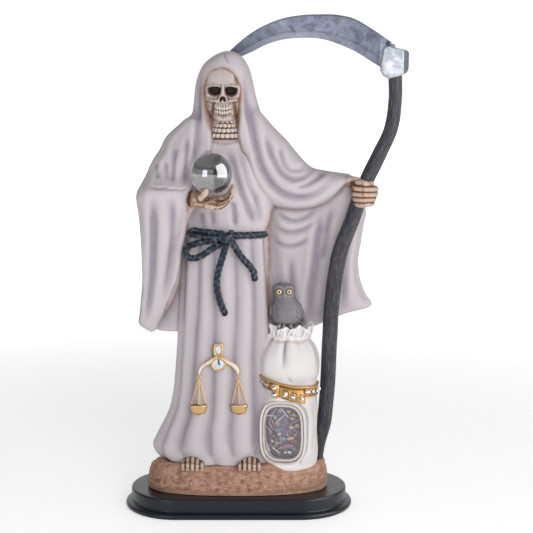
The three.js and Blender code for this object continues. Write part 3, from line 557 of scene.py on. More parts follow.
MANTLE_STROKES = [
    ([(-112, 812), (-112, 763), (-113, 725), (-118, 698)], 7.1, 5.9, 0.4, 0.24),
    ([(-136, 788), (-142, 744), (-142, 702)], 7.1, 5.9, 0.4, 0.4),
    ([(-158, 756), (-157, 735), (-153, 710)], 6.5, 4.5, 0.32, 0.32),
    ([(-183, 752), (-180, 735), (-176, 712)], 6.5, 3.9, 0.32, 0.24),
    ([(-124, 770), (-126, 735), (-129, 704)], 5.1, 2.6, 0.24, 0.24),
    ([(-78, 962), (-86, 935), (-89, 890), (-89, 845), (-90, 800), (-93, 760), (-97, 720)],
     7.5, 6.0, 0.3, 0.4),
    ([(-206, 703), (-190, 698), (-172, 695), (-160, 697), (-148, 693), (-136, 695), (-124, 691),
      (-112, 694), (-100, 690), (-90, 692)], 2.3, 4.4, 0.5, 0.25),
    ([(-186, 690), (-186, 640), (-190, 569), (-196, 495), (-203, 439), (-210, 372)], 10.2, 6.5, 0.32, 0.48),
    ([(-143, 690), (-142, 598), (-147, 552), (-156, 497), (-166, 449), (-172, 436)], 11, 7.2, 0.4, 0.32),
    ([(-120, 668), (-124, 620), (-131, 566)], 6, 2.3, 0.24, 0.24),
    ([(-33, 994), (-28, 983), (-20, 967)], 2.6, 5.2, 0.5, 0.8),
    ([(10, 966), (18, 935), (23, 895), (29, 850), (37, 800), (48, 748), (62, 718), (78, 696),
      (98, 679), (119, 671), (141, 670), (165, 675), (186, 688), (204, 704), (220, 722)],
     10.2, 9.1, 0.4, 0.4),
    ([(58, 820), (68, 785), (80, 755), (97, 726), (119, 713), (140, 714), (160, 725), (180, 740)],
     8.5, 7.2, 0.4, 0.4),
    ([(92, 790), (98, 758), (106, 740), (118, 731), (134, 730), (150, 736), (164, 742)], 7.1, 5.9, 0.4, 0.32),
    ([(120, 692), (141, 695), (164, 706), (186, 722), (204, 734)], 7.1, 5.5, 0.32, 0.32),
    ([(12, 870), (14, 820), (24, 760), (36, 712)], 5.1, 2.3, 0.24, 0.24),
    ([(82, 636), (104, 620), (128, 613), (156, 622), (180, 642)], 6.4, 4.0, 0.5, 0.3),
    ([(78, 604), (98, 591), (122, 587), (152, 594), (176, 612)], 6.4, 4.4, 0.5, 0.3),
    ([(76, 572), (96, 559), (120, 555), (146, 562), (164, 576)], 6.4, 4.0, 0.5, 0.3),
    ([(190, 640), (187, 600), (182, 574), (178, 535), (172, 487), (165, 444), (160, 375)],
     10.2, 7.2, 0.32, 0.4),
    ([(212, 645), (203, 600), (197, 560), (188, 510)], 7.6, 5.2, 0.32, 0.32),
    ([(120, 540), (122, 480), (124, 410), (120, 372)], 9.3, 5.2, 0.32, 0.32),
    ([(250, 630), (246, 560), (240, 480), (236, 405)], 10.2, 5.2, 0.32, 0.32),
]
FACE_EDGE = [
    (3, 812), (2, 835), (3, 856), (5, 884), (5.5, 905), (3.5, 920), (-2, 933), (-10, 943), (-21, 951.5),
    (-36, 955.5), (-51, 951.5), (-61, 943), (-68, 932), (-72, 920), (-74, 905), (-72.5, 884), (-68, 856),
    (-64, 835), (-60, 812),
]
SWAG_HEM = [
    (8, 810), (16, 760), (30, 706), (53, 665), (80, 646), (120, 641), (164, 643), (205, 660), (244, 704),
]
SLEEVE_EDGE = [(-109, 655), (-113, 613), (-123, 537), (-133, 473), (-144, 443), (-161, 411), (-185, 380)]
# Brown along the face opening, the sleeve's edge, the swag's hem and the robe's edge; the broad bands beside
# the neck inside the hood and the line where the cuff meets the hand are painted shadow.
MANTLE_BROWN = [
    (FACE_EDGE, 5.4, 1.0, -68, 40),
    ([(1, 902), (-4, 926), (-15, 944)], 7, 0.8, -68, 60),
    ([(-58, 862), (-60, 835), (-60, 806)], 12, 0.85, -56, 60),
    ([(-2, 862), (0, 835), (2, 806)], 12, 0.85, -56, 60),
    (SLEEVE_EDGE, 5, 0.45, -120, 30),
    ([(-104, 690), (-110, 672), (-110, 648), (-108, 636)], 4, 0.8, -140, -40),
    (SWAG_HEM, 4, 0.4, -90, 20),
    ([(80, 660), (76, 627), (72, 600), (72, 569), (70, 467), (72, 381)], 5, 0.4, -40, 60),
    ([(244, 722), (240, 702), (226, 680)], 4, 0.6, -90, 20),
]


def swag_place(u, v):
    """Upright sections from the hood out to the wrist, rounded at the hem."""
    x = within(SWAG_ROWS, v)
    low, high = along(SWAG_ROWS, x).T
    c, s = np.cos(TAU * u), np.sin(TAU * u)
    fall = (1 - s) / 2
    return at(x, -20 + 46 * boxy(c, 0.8) - 6 * fall, (low + high) / 2 + (high - low) / 2 * s)


def fused(mesh, cutters, voxel):
    """The mesh as one skin of voxels of that size, less the cutters."""
    whole = bpy.data.objects.new("whole", mesh)
    bpy.context.scene.collection.objects.link(whole)
    remesh = whole.modifiers.new("remesh", "REMESH")
    remesh.mode = "VOXEL"
    remesh.voxel_size = voxel
    tools = []
    for bm in cutters:
        tool = bpy.data.objects.new("tool", gathered([bm]))
        bpy.context.scene.collection.objects.link(tool)
        cut = whole.modifiers.new("cut", "BOOLEAN")
        cut.operation = "DIFFERENCE"
        cut.solver = "EXACT"
        cut.object = tool
        tools.append(tool)
    made = bpy.data.meshes.new_from_object(whole.evaluated_get(bpy.context.evaluated_depsgraph_get()))
    for spare in (whole, *tools):
        spent = spare.data
        bpy.data.objects.remove(spare)
        bpy.data.meshes.remove(spent)
    return made


hood = drape(HOOD_ROWS, HOOD_CREASES, (770, 994.5), 140, 150, 2.2)
left_sleeve = drape(LEFT_SLEEVE_ROWS, LEFT_CREASES, (360, 845), 120, 120, 3.0)
swag = skin(72, 90, swag_place)
opening = drape(OPENING_ROWS, PLAIN, (662, 956), 96, 140, 3.0)
hollow = drape(HOLLOW_ROWS, PLAIN, (340, 640), 60, 60, 3.0)
front = fused(gathered([hood, left_sleeve, swag]), [opening, hollow], 0.0012)
shell = bmesh.new()
shell.from_mesh(front)
back = drape(BACK_ROWS, BACK_CREASES, (356, 820), 140, 80, 2.6)
right_sleeve = drape(RIGHT_SLEEVE_ROWS, RIGHT_CREASES, (347, 718), 140, 80, 2.8)
mantle = fused(gathered([shell, back, right_sleeve]), [], 0.00105)
co, _, edges = spots_of(mantle)
move(mantle, relaxed(co, edges, 5))
depth, light = creased(mantle, MANTLE_STROKES)
fine, broad = hollows(mantle, 5), hollows(mantle, 50)
# shade: lilac wash in the carved creases and hollows, partly painted shade; ridge: painted highlight on the
# crests and beside the creases.
note(mantle, "shade", 0.8 * depth + np.clip(fine / 0.00012, 0, 1) * 0.1 + np.clip(broad / 0.0012, 0, 0.5))
note(mantle, "ridge", np.clip(-broad / 0.0009, 0, 0.7) + 0.6 * light)
note(mantle, "brown", brown_lines(mantle, MANTLE_BROWN))
piece("mantle", mantle, robe_paint("mantle paint"), "figure")


# Skull: bare bone in the hood's opening, cast resin painted cream with dark brown recesses, and
# painted shade round the sockets, under the brow, down the sides and under the chin, with painted
# highlights on the cheekbones, the nose's tip and the right temple. A grid round the head, its front
# pressed into brow, sockets, nose, cheekbones, teeth and chin.
SKULL_X = -32.3
TOOTH = 5.2  # the teeth's spacing
SKULL_ROWS = [
    [838, 5, -58, -46],
    [839.5, 14, -64, -34],
    [843, 20, -68, -26],
    [848, 26, -69, -22],
    [857, 32, -68, -16],
    [868, 37.5, -65, -8],
    [882, 40.5, -62, -2],
    [900, 42.5, -61, 4],
    [915, 42.5, -61, 6],
    [932, 40.5, -58, 6],
    [945, 35, -54, 4],
    [954, 28, -48, 0],
    [960, 20, -41, -6],
    [964, 8, -32, -18],
]


def soft(value, edge):
    """1 well inside a form (value under 1), 0 outside, with an edge of that softness."""
    t = np.clip((1 + edge - value) / (2 * edge), 0, 1)
    return t * t * (3 - 2 * t)


def oval(x, z, middle, half, power=2.0, turn=0.0):
    """Distance from a middle, 1 on the rim of an oval of those half sizes."""
    c, s = math.cos(turn), math.sin(turn)
    a, b = x - middle[0], z - middle[1]
    a, b = (a * c + b * s) / half[0], (b * c - a * s) / half[1]
    return (np.abs(a) ** power + np.abs(b) ** power) ** (1 / power)


def stroke(x, z, a, b, width):
    """How strongly a place lies on the straight ridge from a to b."""
    dx, dz = b[0] - a[0], b[1] - a[1]
    t = np.clip(((x - a[0]) * dx + (z - a[1]) * dz) / (dx * dx + dz * dz), 0, 1)
    gap = np.hypot(x - a[0] - t * dx, z - a[1] - t * dz)
    return np.exp(-((gap / width) ** 2))


def skull_relief(x, z):
    """How far the face is pushed back from the plain head, how dark each place is painted, partly as
    painted shade, and how white, partly as painted highlight. x is measured from the face's middle line."""
    side = np.abs(x)

    # Temples, brow, and the furrows between the brows
    temple = soft(oval(x, z, (31, 931), (6.5, 10)), 0.8) + 0.5 * soft(oval(x, z, (-37, 926), (5, 12)), 0.8)
    furrow = stroke(x, z, (-4.4, 913), (-4.0, 922), 0.9) + 0.8 * stroke(x, z, (3, 912.5), (5, 919), 0.9)
    push = 2.5 * temple + 1.3 * furrow
    push -= 2.8 * stroke(side, z, (7, 915.5), (21, 918), 2.8)
    push -= 2.2 * stroke(side, z, (21, 918), (35, 915.5), 3.0)
    dark = 0.5 * temple + 0.4 * furrow
    # Painted shade under the brow.
    dark += 0.22 * soft(oval(side, z, (19, 916), (20, 5)), 0.9)
    dark += 0.3 * stroke(x, z, (24, 948), (34, 925), 4.5)

    # Sockets: half moons under a level brow, nearly black inside and brown at their rims
    left = soft(oval(x, z, (-19.6, 909), (13.2, 11.5), 2.2), 0.32)
    left = left * np.clip((915.6 - 0.011 * (x + 18) ** 2 - z) / 3 + 0.5, 0, 1)
    right = soft(oval(x, z, (18, 908.5), (12.6, 12), 2.2, -0.25), 0.32)
    right = right * np.clip((915.2 - 0.011 * (x - 15) ** 2 - z) / 3 + 0.5, 0, 1)
    push += 21 * (left + right)
    dark += 0.9 * (left + right)
    dark += 0.6 * soft(oval(x, z, (-18, 906.8), (10, 5.4), 2.4, 0.03), 0.6)
    dark += 0.6 * soft(oval(x, z, (16.5, 906.2), (9.5, 5.8), 2.4, -0.2), 0.6)
    # Painted shade round the sockets: at their inner corners beside the nose and in a soft halo.
    dark += 0.26 * soft(oval(side, z, (12, 902), (7, 9)), 0.8)
    dark += 0.14 * soft(oval(side, z, (19, 903), (20, 12)), 0.6)

    # Nose: its bridge, the two nostrils and the spine between them
    nostril = soft(oval(np.abs(x + 0.8), z, (3.3, 888.8), (2.5, 5.6), 2.0, 0.36), 0.3)
    push -= 4.5 * stroke(x, z, (-0.8, 898), (-0.8, 916), 3.4)
    push += 10 * nostril - 2.6 * stroke(x, z, (-0.8, 887), (-0.8, 882.5), 1.7)
    dark += 0.3 * stroke(side, z, (5, 912), (8, 900), 2.2)
    dark += 1.15 * nostril + 0.5 * stroke(x, z, (-1.6, 880.6), (-0.4, 880.4), 1.1)

    # Cheekbones: the sockets' lower rims, a ledge under them, and the arches back to the ears
    ledge = stroke(side, z, (13, 890.5), (31, 892), 1.5)
    push -= 0.7 * stroke(side, z, (7, 896), (20, 893.5), 2.4)
    push -= 1.3 * stroke(side, z, (20, 893.5), (34, 898.5), 2.8)
    push -= 2.4 * stroke(side, z, (35, 894), (37, 912), 2.8)
    push -= 2.0 * ledge + 4.8 * stroke(side, z, (14, 885), (27, 885), 3.0)
    push += 4.6 * stroke(side, z, (27, 885), (38, 890), 3.2)
    dark += 0.1 * ledge + 0.36 * stroke(side, z, (17, 880), (37, 882.5), 2.2)
    dark += 0.16 * soft(oval(side, z, (20, 890.5), (15, 4.5)), 0.8)
    dark += 0.5 * stroke(side, z, (8.5, 897), (12.5, 888), 1.7)

    # Jaws: a bulge under the teeth, the hollow cheeks beside it, the chin and the jaw's sides
    cheek = soft(oval(x, z, (-23, 868), (3.0, 12), 2.0, -0.12), 0.95)
    cheek += soft(oval(x, z, (25.5, 868), (3.2, 12.5), 2.0, 0.1), 0.95)
    push += 6.5 * cheek - 6.5 * soft(oval(x, z, (0, 867), (21, 14), 2.4), 0.5)
    push -= 3.5 * soft(oval(x, z, (1, 846), (19, 6.5), 2.6), 0.6)
    # Brown in the hollow cheeks; painted shadow on the jaw's sides, down the skull's outer edges and under
    # the chin.
    dark += 0.5 * cheek + 0.27 * soft(oval(side, z, (34, 866), (11, 18)), 0.8)
    dark += 0.12 * soft(oval(side, z, (0, 866), (44, 27)), 0.5)
    dark += 0.34 * soft(oval(side, z, (30, 850), (11, 10)), 0.8)
    dark += 0.45 * soft(oval(side, z, (43, 885), (4.5, 34)), 0.6)
    dark += 0.3 * soft(oval(x, z, (4, 852), (17, 3.4)), 0.8) + 0.4 * bell(z - 837, 3.5)
    dark += 0.4 * stroke(x, z, (-1.5, 847.5), (-1.3, 847), 1.2)

    # Teeth: two uneven rows that meet in a curved line, and the roots showing in the gums
    bite = z - 0.014 * x * x - 0.4 * np.sin(0.6 * x)
    uneven = x + 0.6 * np.sin(0.42 * x + 0.8)
    upper = soft(np.abs(bite - 867.8) / 4.1, 0.25) * (side < 18.5)
    lower = soft(np.abs(bite - 859.6) / 3.5, 0.25) * (side < 15)
    teeth = np.maximum(upper, lower)
    gap = bell(bite - 863.3, 0.8) * (side < 19)
    crown = np.abs(np.cos(np.pi * uneven / TOOTH)) ** 0.6
    between = bell(np.mod(uneven + TOOTH / 2, TOOTH) - TOOTH / 2, 0.6)
    upper_gum, lower_gum = soft(np.abs(bite - 876) / 3.6, 0.5), soft(np.abs(bite - 853.4) / 2.6, 0.5)
    gum = np.maximum(0.5 * upper_gum, lower_gum) * (side < 18)
    push += 3.0 * gap + 1.5 * between * teeth - (1.6 + 1.6 * (1 - crown)) * teeth
    push += 0.9 * between * gum
    dark += 0.75 * gap + 0.42 * between * teeth + 0.26 * gum * (0.6 + between)

    # White: the teeth's own paint, and painted highlights on both cheekbones, the nose's tip and the right
    # temple.
    white = teeth * (1 - between) * (1 - gap) + 0.7 * stroke(side, z, (25, 886), (38, 890), 2.4)
    white += 0.5 * stroke(x, z, (-0.8, 885.5), (-0.8, 883.5), 1.4)
    white += 0.4 * stroke(x, z, (28, 922), (34, 919), 2.6)
    return push, dark, white


def face_middle(height):
    """Where the face's middle line runs: the jaw is set a little to the right."""
    return SKULL_X + 2.6 * np.clip((880 - height) / 40, 0, 1)


def skull_place(u, v):
    """Round the head, with most of the columns over the face."""
    height = within(SKULL_ROWS, v)
    half, front, back = along(SKULL_ROWS, height).T
    turn = u * 2 - 1
    angle = -np.pi / 2 + np.pi * (0.62 * turn + 0.38 * turn ** 3)
    c, s = np.cos(angle), np.sin(angle)
    x = half * boxy(c, 0.8)
    y = (front + back) / 2 + (back - front) / 2 * boxy(s, 0.7)
    facing = np.clip(-2.5 * s, 0, 1)
    push, _, _ = skull_relief(x, height)
    return at(face_middle(height) + x, y + push * facing, height)


skull = gathered([skin(230, 190, skull_place)])
co, _, _ = spots_of(skull)
face = (co[:, 1] < -0.004).astype(float)
x, _, height = thousandths(co)
_, dark, white = skull_relief(x - face_middle(height), height)
fine, broad = hollows(skull, 5), hollows(skull, 40)
# dark: black sockets and brown recesses, with the painted shade above; hollow: brown in the hollows, partly
# painted shade; ridge: painted highlight on the crests, kept off the sockets' band, and the white marks.
note(skull, "dark", np.clip(dark * face, 0, 1.5) / 1.5)
note(skull, "hollow", np.clip(fine / 0.00008, 0, 1) * 0.4 + np.clip(broad / 0.0005, 0, 0.4))
off_bridge = 1 - 0.85 * (height < 913) * (height > 889)
crest_highlight = np.clip(-fine / 0.00005, 0, 1) * 0.18 + np.clip(-broad / 0.0005, 0, 0.17) * off_bridge
note(skull, "ridge", crest_highlight + 0.55 * white * face)


def bone_paint(name, light, middle, wash, pale):
    """Cream resin paint: a brown wash in the hollows, partly painted shade, pale ridges, partly dry-brushing
    and partly painted highlight, and brown to black where dark is noted.
    """
    paint = Paint(name, Roughness=0.55, Specular_IOR_Level=0.2)
    base = paint.mix(paint.noise(280, 4), middle, light)
    hollow = paint.times(paint.held("hollow"), paint.rise(paint.noise(700, 3), 0.25, 0.7, (0.75, 1.2)))
    colour = paint.mix(hollow, base, wash)
    colour = paint.mix(paint.held("ridge"), colour, pale)
    dark = paint.held("dark")
    patchy = paint.times(dark, paint.rise(paint.noise(700, 4), 0.3, 0.7, (0.7, 1.25)))
    colour = paint.mix(paint.rise(patchy, 0.0, 0.5), colour, wash)
    colour = paint.mix(paint.rise(dark, 0.55, 0.95), colour, (0.014, 0.010, 0.007))
    paint.set(Base_Color=colour)
    paint.bump(paint.noise(1540, 4), 0.15, 0.0002)
    return paint


SKULL_COLOURS = ((0.46, 0.41, 0.41), (0.41, 0.345, 0.325), (0.15, 0.072, 0.038), (0.76, 0.70, 0.64))
piece("skull", skull, bone_paint("skull paint", *SKULL_COLOURS), "figure")


# Neck: four rings of small beads like vertebrae, cream on a dark brown core, flaring over the
# breast. The core and the beads' inner sides are painted dark as shade between the beads, their
# outer faces paler as a painted highlight. Cast in one with the figure.
NECK_X = -28
NECK_ROWS = [
    [790, 35, -66, -10],
    [803, 32.5, -64, -10],
    [816, 28, -62, -10],
    [828, 24, -59, -10],
    [850, 22, -52, -10],
]


def neck_place(u, v):
    """The neck's core, a smooth flare."""
    height = 799 + 49 * v
    half, front, back = along(NECK_ROWS, height).T
    c, s = np.cos(TAU * u), np.sin(TAU * u)
    core = half - 2.5 + np.interp(height, [815, 832], [0, 7])
    return at(NECK_X + core * c, (front + back) / 2 + ((back - front) / 2 - 2.5) * s, height)


beads = [skin(60, 16, neck_place)]
for height, count, size in ((807.5, 18, 5.8), (819, 17, 5.4), (829.5, 16, 4.9), (838, 14, 4.2)):
    half, front, back = along(NECK_ROWS, np.array([height]))[0]
    for i in range(count):
        angle = TAU * (i + 0.5 * (count % 2)) / count
        spot = at(NECK_X + (half - 1) * math.cos(angle),
                  (front + back) / 2 + ((back - front) / 2 - 1) * math.sin(angle), height)
        bead = bmesh.new()
        bmesh.ops.create_uvsphere(bead, u_segments=14, v_segments=10, radius=size * SHARE)
        for vert in bead.verts:
            share = vert.co / (size * SHARE)
            vert.co = Vector([math.copysign(abs(c) ** 0.62, c) for c in share]) * 0.88 * size * SHARE
        bmesh.ops.translate(bead, verts=bead.verts, vec=Vector(spot))
        beads.append(bead)
neck = gathered(beads)
co, _, _ = spots_of(neck)
x, y, height = thousandths(co)
half, front, back = along(NECK_ROWS, height).T
out = np.hypot((x - NECK_X) / half, (y - (front + back) / 2) / ((back - front) / 2))
# dark and hollow: painted shade on the core and the beads' inner sides; ridge: painted highlight on their
# outer faces.
note(neck, "dark", np.clip((1.02 - out) / 0.16, 0, 0.62))
note(neck, "hollow", np.clip((1.10 - out) / 0.12, 0, 1) * 0.5)
note(neck, "ridge", np.clip((out - 1.02) / 0.08, 0, 1))
NECK_COLOURS = ((0.48, 0.38, 0.34), (0.36, 0.235, 0.18), (0.15, 0.06, 0.026), (0.60, 0.51, 0.47))
piece("neck_beads", neck, bone_paint("neck paint", *NECK_COLOURS), "figure")


# Open hand under the ball: wrist, palm, four jointed fingers curling up and the thumb in front.
# Cast with the figure and painted tan, the joints lined in brown and the gaps between the fingers
# and at the cuff painted dark as shade.
def smooth_path(points, count):
    """So many evenly spaced points on a smooth curve through the given ones, and its length."""
    points = np.asarray(points, float)
    steps = np.concatenate([[0], np.cumsum(np.linalg.norm(np.diff(points, axis=0), axis=1))])
    dense = along(np.column_stack([steps, points]), np.linspace(0, steps[-1], 500))
    run = np.concatenate([[0], np.cumsum(np.linalg.norm(np.diff(dense, axis=0), axis=1))])
    even = np.linspace(0, run[-1], count)
    return np.stack([np.interp(even, run, dense[:, k]) for k in range(3)], axis=1), run[-1]


def tube(points, radius, columns, rows, shape=None, flat=1.0):
    """A tube with round ends along a smooth curve of places in thousandths. radius is a number or
    rows of [share of length, radius]; shape(angle, share) multiplies it."""
    line, length = smooth_path(points, rows + 1)
    ahead = np.gradient(line, axis=0)
    ahead /= np.linalg.norm(ahead, axis=1)[:, None]
    side = np.zeros_like(line)
    side[0] = np.cross(ahead[0], (0.0, 1.0, 0.05) if abs(ahead[0][1]) < 0.9 else (1.0, 0.0, 0.0))
    side[0] /= np.linalg.norm(side[0])
    for i in range(1, len(line)):
        side[i] = side[i - 1] - np.dot(side[i - 1], ahead[i]) * ahead[i]
        side[i] /= np.linalg.norm(side[i])
    other = np.cross(ahead, side)

    def place(u, v):
        i = np.clip(np.round(v * rows).astype(int), 0, rows)
        size = np.full(len(v), float(radius)) if np.isscalar(radius) else along(radius, v)[:, 0]
        end = np.clip(np.minimum(v, 1 - v) * length / np.maximum(size, 1e-6), 0, 1)
        size = size * np.sqrt(1 - (1 - end) ** 2)
        if shape:
            size = size * shape(TAU * u, v)
        c, s = np.cos(TAU * u) * size, np.sin(TAU * u) * size * flat
        spot = line[i] + side[i] * c[:, None] + other[i] * s[:, None]
        return at(spot[:, 0], spot[:, 1], spot[:, 2])

    return skin(columns, rows, place)


def finger(points, radius, joints, swell):
    """A bony finger: thick at its joints, with a groove across each, and thin between them."""

    def shape(angle, t):
        size = 0.92
        for joint in joints:
            size = size + swell * bell(t - joint, 0.07) - 0.10 * bell(t - joint, 0.016)
        return size * (1 - 0.22 * np.clip(t - 0.55, 0, 1))

    return tube(points, radius, 20, 64, shape)


def bony(mesh, lines):
    """Notes the hollows, ridges and brown lines of a bony piece for its paint: the hollows' brown partly
    painted shade, the ridges' paleness partly dry-brushing and partly painted highlight.
    """
    deep = 0.00012
    fine, broad = hollows(mesh, 5), hollows(mesh, 30)
    note(mesh, "hollow", np.clip(fine / deep, 0, 1) * 0.7 + np.clip(broad / (2.5 * deep), 0, 0.8))
    note(mesh, "ridge", np.clip(-fine / deep, 0, 0.5) + np.clip(-broad / (4 * deep), 0, 0.6))
    note(mesh, "dark", brown_lines(mesh, lines))


def remeshed(parts, voxel, rounds=1):
    """Overlapping closed parts fused into one skin."""
    mesh = fused(gathered(parts), [], voxel)
    co, _, edges = spots_of(mesh)
    move(mesh, relaxed(co, edges, rounds, 0.4))
    return mesh


palm_parts = [
    tube([(-106, -72, 669), (-98, -92, 669), (-87, -108, 668), (-72, -121, 667)],
         [[0, 15], [0.3, 19.5], [0.6, 18], [1, 13]], 28, 30),
    tube([(-96, -122, 669), (-78, -126, 667), (-56, -127, 665), (-40, -126, 668)],
         [[0, 11], [0.35, 12.5], [0.7, 12], [1, 9]], 32, 30, None, 2.0),
    finger([(-72, -149, 661), (-52, -151, 658), (-34, -151, 661), (-21, -149, 672), (-13, -147, 685)],
           6.4, (0.3, 0.52, 0.76), 0.16),
    finger([(-62, -138, 667), (-40, -139, 664), (-23, -138, 671), (-12, -136, 684), (-7, -134, 698)],
           6.2, (0.3, 0.55, 0.8), 0.22),
    finger([(-58, -124, 673), (-34, -124, 671), (-18, -122, 678), (-9, -120, 692), (-6, -118, 705)],
           6.2, (0.3, 0.55, 0.8), 0.22),
    finger([(-56, -110, 675), (-34, -108, 675), (-18, -106, 683), (-12, -104, 694), (-10, -103, 704)],
           6.0, (0.3, 0.55, 0.8), 0.2),
    finger([(-96, -136, 671), (-86, -147, 675), (-76, -153, 681), (-69, -156, 690), (-65, -157, 699)],
           7.4, (0.45, 0.75), 0.2),
]
palm = remeshed(palm_parts, 0.0004)
# Brown lines: painted shadow where the wrist leaves the cuff and in the gaps between the curled fingers,
# brown across the finger joints and round the thumb's root.
bony(palm, [
    ([(-102, 706), (-107, 680), (-109, 646)], 5, 0.75, -200, 0),
    ([(-96, 660), (-76, 654), (-56, 650), (-38, 653), (-24, 662), (-14, 676)], 1.8, 0.5, -200, 0),
    ([(-54, 663), (-38, 662), (-24, 669), (-15, 682)], 1.6, 0.6, -200, 0),
    ([(-52, 671), (-34, 670), (-21, 677), (-12, 690)], 1.5, 0.55, -200, 0),
    ([(-50, 648), (-46, 657)], 1.4, 0.6, -200, 0),
    ([(-40, 647), (-36, 658)], 1.4, 0.6, -200, 0),
    ([(-31, 650), (-27, 662)], 1.4, 0.6, -200, 0),
    ([(-23, 657), (-19, 670)], 1.4, 0.6, -200, 0),
    ([(-15, 666), (-11, 680)], 1.4, 0.6, -200, 0),
    ([(-90, 684), (-82, 668), (-68, 670), (-56, 678)], 3.2, 0.45, -200, -140),
])
HAND_COLOURS = ((0.35, 0.228, 0.165), (0.25, 0.14, 0.088), (0.115, 0.042, 0.016), (0.52, 0.40, 0.33))
piece("ball_hand", palm, bone_paint("ball hand paint", *HAND_COLOURS), "figure")


# Fist round the pole: the back of the hand coming out of the cuff, five rows of fingers one above
# another round the wood and the thumb on top. Fused tubes in the same resin and paint, drawn in
# by a tenth below the fist's top.
FIST_TOP = 712
FIST_ROWS = [  # each finger's height, its near and far reach, and its slope
    (703, 268, 301, -3),
    (688.5, 262, 312, -1),
    (674.8, 262, 311, 0),
    (661.5, 264, 307, 1),
    (649.5, 268, 303, 2),
]
fist_parts = [
    tube([(226, -24, 703), (246, -38, 704), (264, -50, 701)],
         [[0, 13], [0.6, 14], [1, 15]], 28, 24, None, 0.9),
    tube([(260, -52, 713), (268, -54, 700), (268, -50, 670), (264, -46, 650)],
         [[0, 9], [0.3, 15], [0.7, 14], [1, 8]], 28, 30, None, 1.2),
]
for z, near, far, slope in FIST_ROWS:
    fist_parts.append(finger(
        [(near, -52, z + 2), (near, -74, z + 1), (near + 14, -84, z), (far - 16, -82, z + slope),
         (far - 6, -68, z + slope), (far - 7, -46, z + slope), (far - 24, -34, z + slope)],
        8.0, (0.16, 0.36, 0.62, 0.82), 0.05))
fist_parts.append(finger([(250, -48, 711), (262, -66, 712), (274, -74, 709)], 7.4, (0.45, 0.8), 0.06))
fist = remeshed(fist_parts, 0.00041)
fist_lines = [
    ([(274.5, 710), (275, 690), (275, 670)], 1.2, 0.45, -200, 0),
    ([(244, 716), (252, 690), (256, 676)], 7, 0.3, -200, 0),
]
# Painted shade in the gaps between the rows of fingers.
for z in (695.4, 681.6, 668, 655.4):
    fist_lines.append(([(254, z + 1), (275, z), (300, z - 0.5), (312, z)], 1.7, 0.5, -200, 0))
bony(fist, fist_lines)
co, _, _ = spots_of(fist)
x, y, z = thousandths(co)
move(fist, at(x, y, FIST_TOP + 0.9 * (z - FIST_TOP)))
piece("pole_hand", fist, bone_paint("pole hand paint", *HAND_COLOURS), "figure")


# Feet: bare toes showing under the hem on the mound, tan, with painted shade in the gaps between the
# toes and brown lines at their joints. Fused tubes in the same resin, cast with the figure.
foot_parts, foot_lines = [], []
for middle in (-102, 26):
    foot_parts.append(tube([(middle, -50, 76), (middle, -78, 74), (middle, -100, 68)],
                           [[0, 9], [0.6, 9.5], [1, 8]], 32, 24, None, 2.3))
    for k in range(5):
        across = middle + (k - 2) * 10.6
        reach = 116 - 1.3 * (k - 2.3) ** 2
        arch = 84 - 2.2 * (k - 2) ** 2
        toe = [(middle + (k - 2) * 8.8, -82, arch), (across, -100, arch - 2), (across, -reach, 71),
               (across, -reach - 1, 59)]
        foot_parts.append(finger(toe, 5.1, (0.42, 0.72, 0.9), 0.24))
        for z in (77, 66):
            joint = z + 1.6 * math.cos(2.3 * (k - 2) + z)
            foot_lines.append(([(across - 4, joint), (across + 4, joint)], 1.1, 0.34, -200, 0))
    for k in range(6):
        gap = middle + 10.6 * (k - 2.5)
        foot_lines.append(([(gap, 92), (gap, 50)], 1.5, 0.75, -200, 0))
feet = remeshed(foot_parts, 0.00042)
bony(feet, foot_lines)
piece("feet", feet, bone_paint("foot paint", *HAND_COLOURS), "figure")


# Rope belt: across the front of the waist, with a closed bight and an open bow on the left of the
# knot and two hanging ends. Three laid strands, blue-black, with slate highlights painted in patches
# on the strands' crests and near-black painted shade between them, cast in relief on the gown.
ROPE_RADIUS = 7.6


def rope(points, rows, radius=ROPE_RADIUS):
    """A three-strand rope: lobes that wind round its length."""
    _, length = smooth_path(points, 50)
    turns = length / 42

    def strands(angle, t):
        lobe = np.abs(np.cos(1.5 * (angle - TAU * turns * t)))
        return 0.76 + 0.31 * lobe ** 0.75

    return tube(points, radius, 30, rows, strands, 0.85)


belt = []
for i in range(15):
    angle = math.pi * (-0.80 + 0.69 * i / 14)
    belt.append((-29 + 99 * math.cos(angle), -4 + 72 * math.sin(angle), 587 - 3 * max(0, math.cos(angle))))
knot_parts = [
    rope([(-34, -72, 592), (-36, -88, 590), (-26, -93, 583), (-14, -88, 578), (-10, -74, 576)], 60, 8.2),
    rope([(-14, -74, 594), (-14, -88, 592), (-22, -94, 582), (-30, -88, 572), (-32, -76, 568)], 60, 7.4),
    rope([(-42, -76, 590), (-38, -87, 584), (-30, -90, 577), (-22, -84, 571)], 50, 6.6),
]
bow = [
    (-28, -80, 584), (-52, -85, 579), (-74, -87, 574), (-96, -87, 569), (-111, -86, 562), (-117, -86, 551),
    (-112, -86, 541), (-98, -86, 537), (-80, -86, 543), (-62, -86, 555), (-44, -84, 566), (-28, -80, 576),
]
bight = [
    (-30, -80, 590), (-54, -85, 595), (-80, -86, 598), (-98, -84, 600), (-106, -84, 595),
    (-100, -86, 590), (-80, -88, 587), (-56, -87, 584), (-34, -82, 582),
]
left_end = [
    (-24, -84, 578), (-29, -86, 556), (-36, -84, 532), (-43, -83, 508),
    (-46.5, -83, 482), (-44, -84, 456), (-36, -85, 430), (-26, -86, 407),
]
right_end = [
    (-20, -86, 584), (-8, -88, 566), (2, -84, 549), (14, -83, 533),
    (27, -83, 519), (36, -83, 504), (38, -83, 484),
]
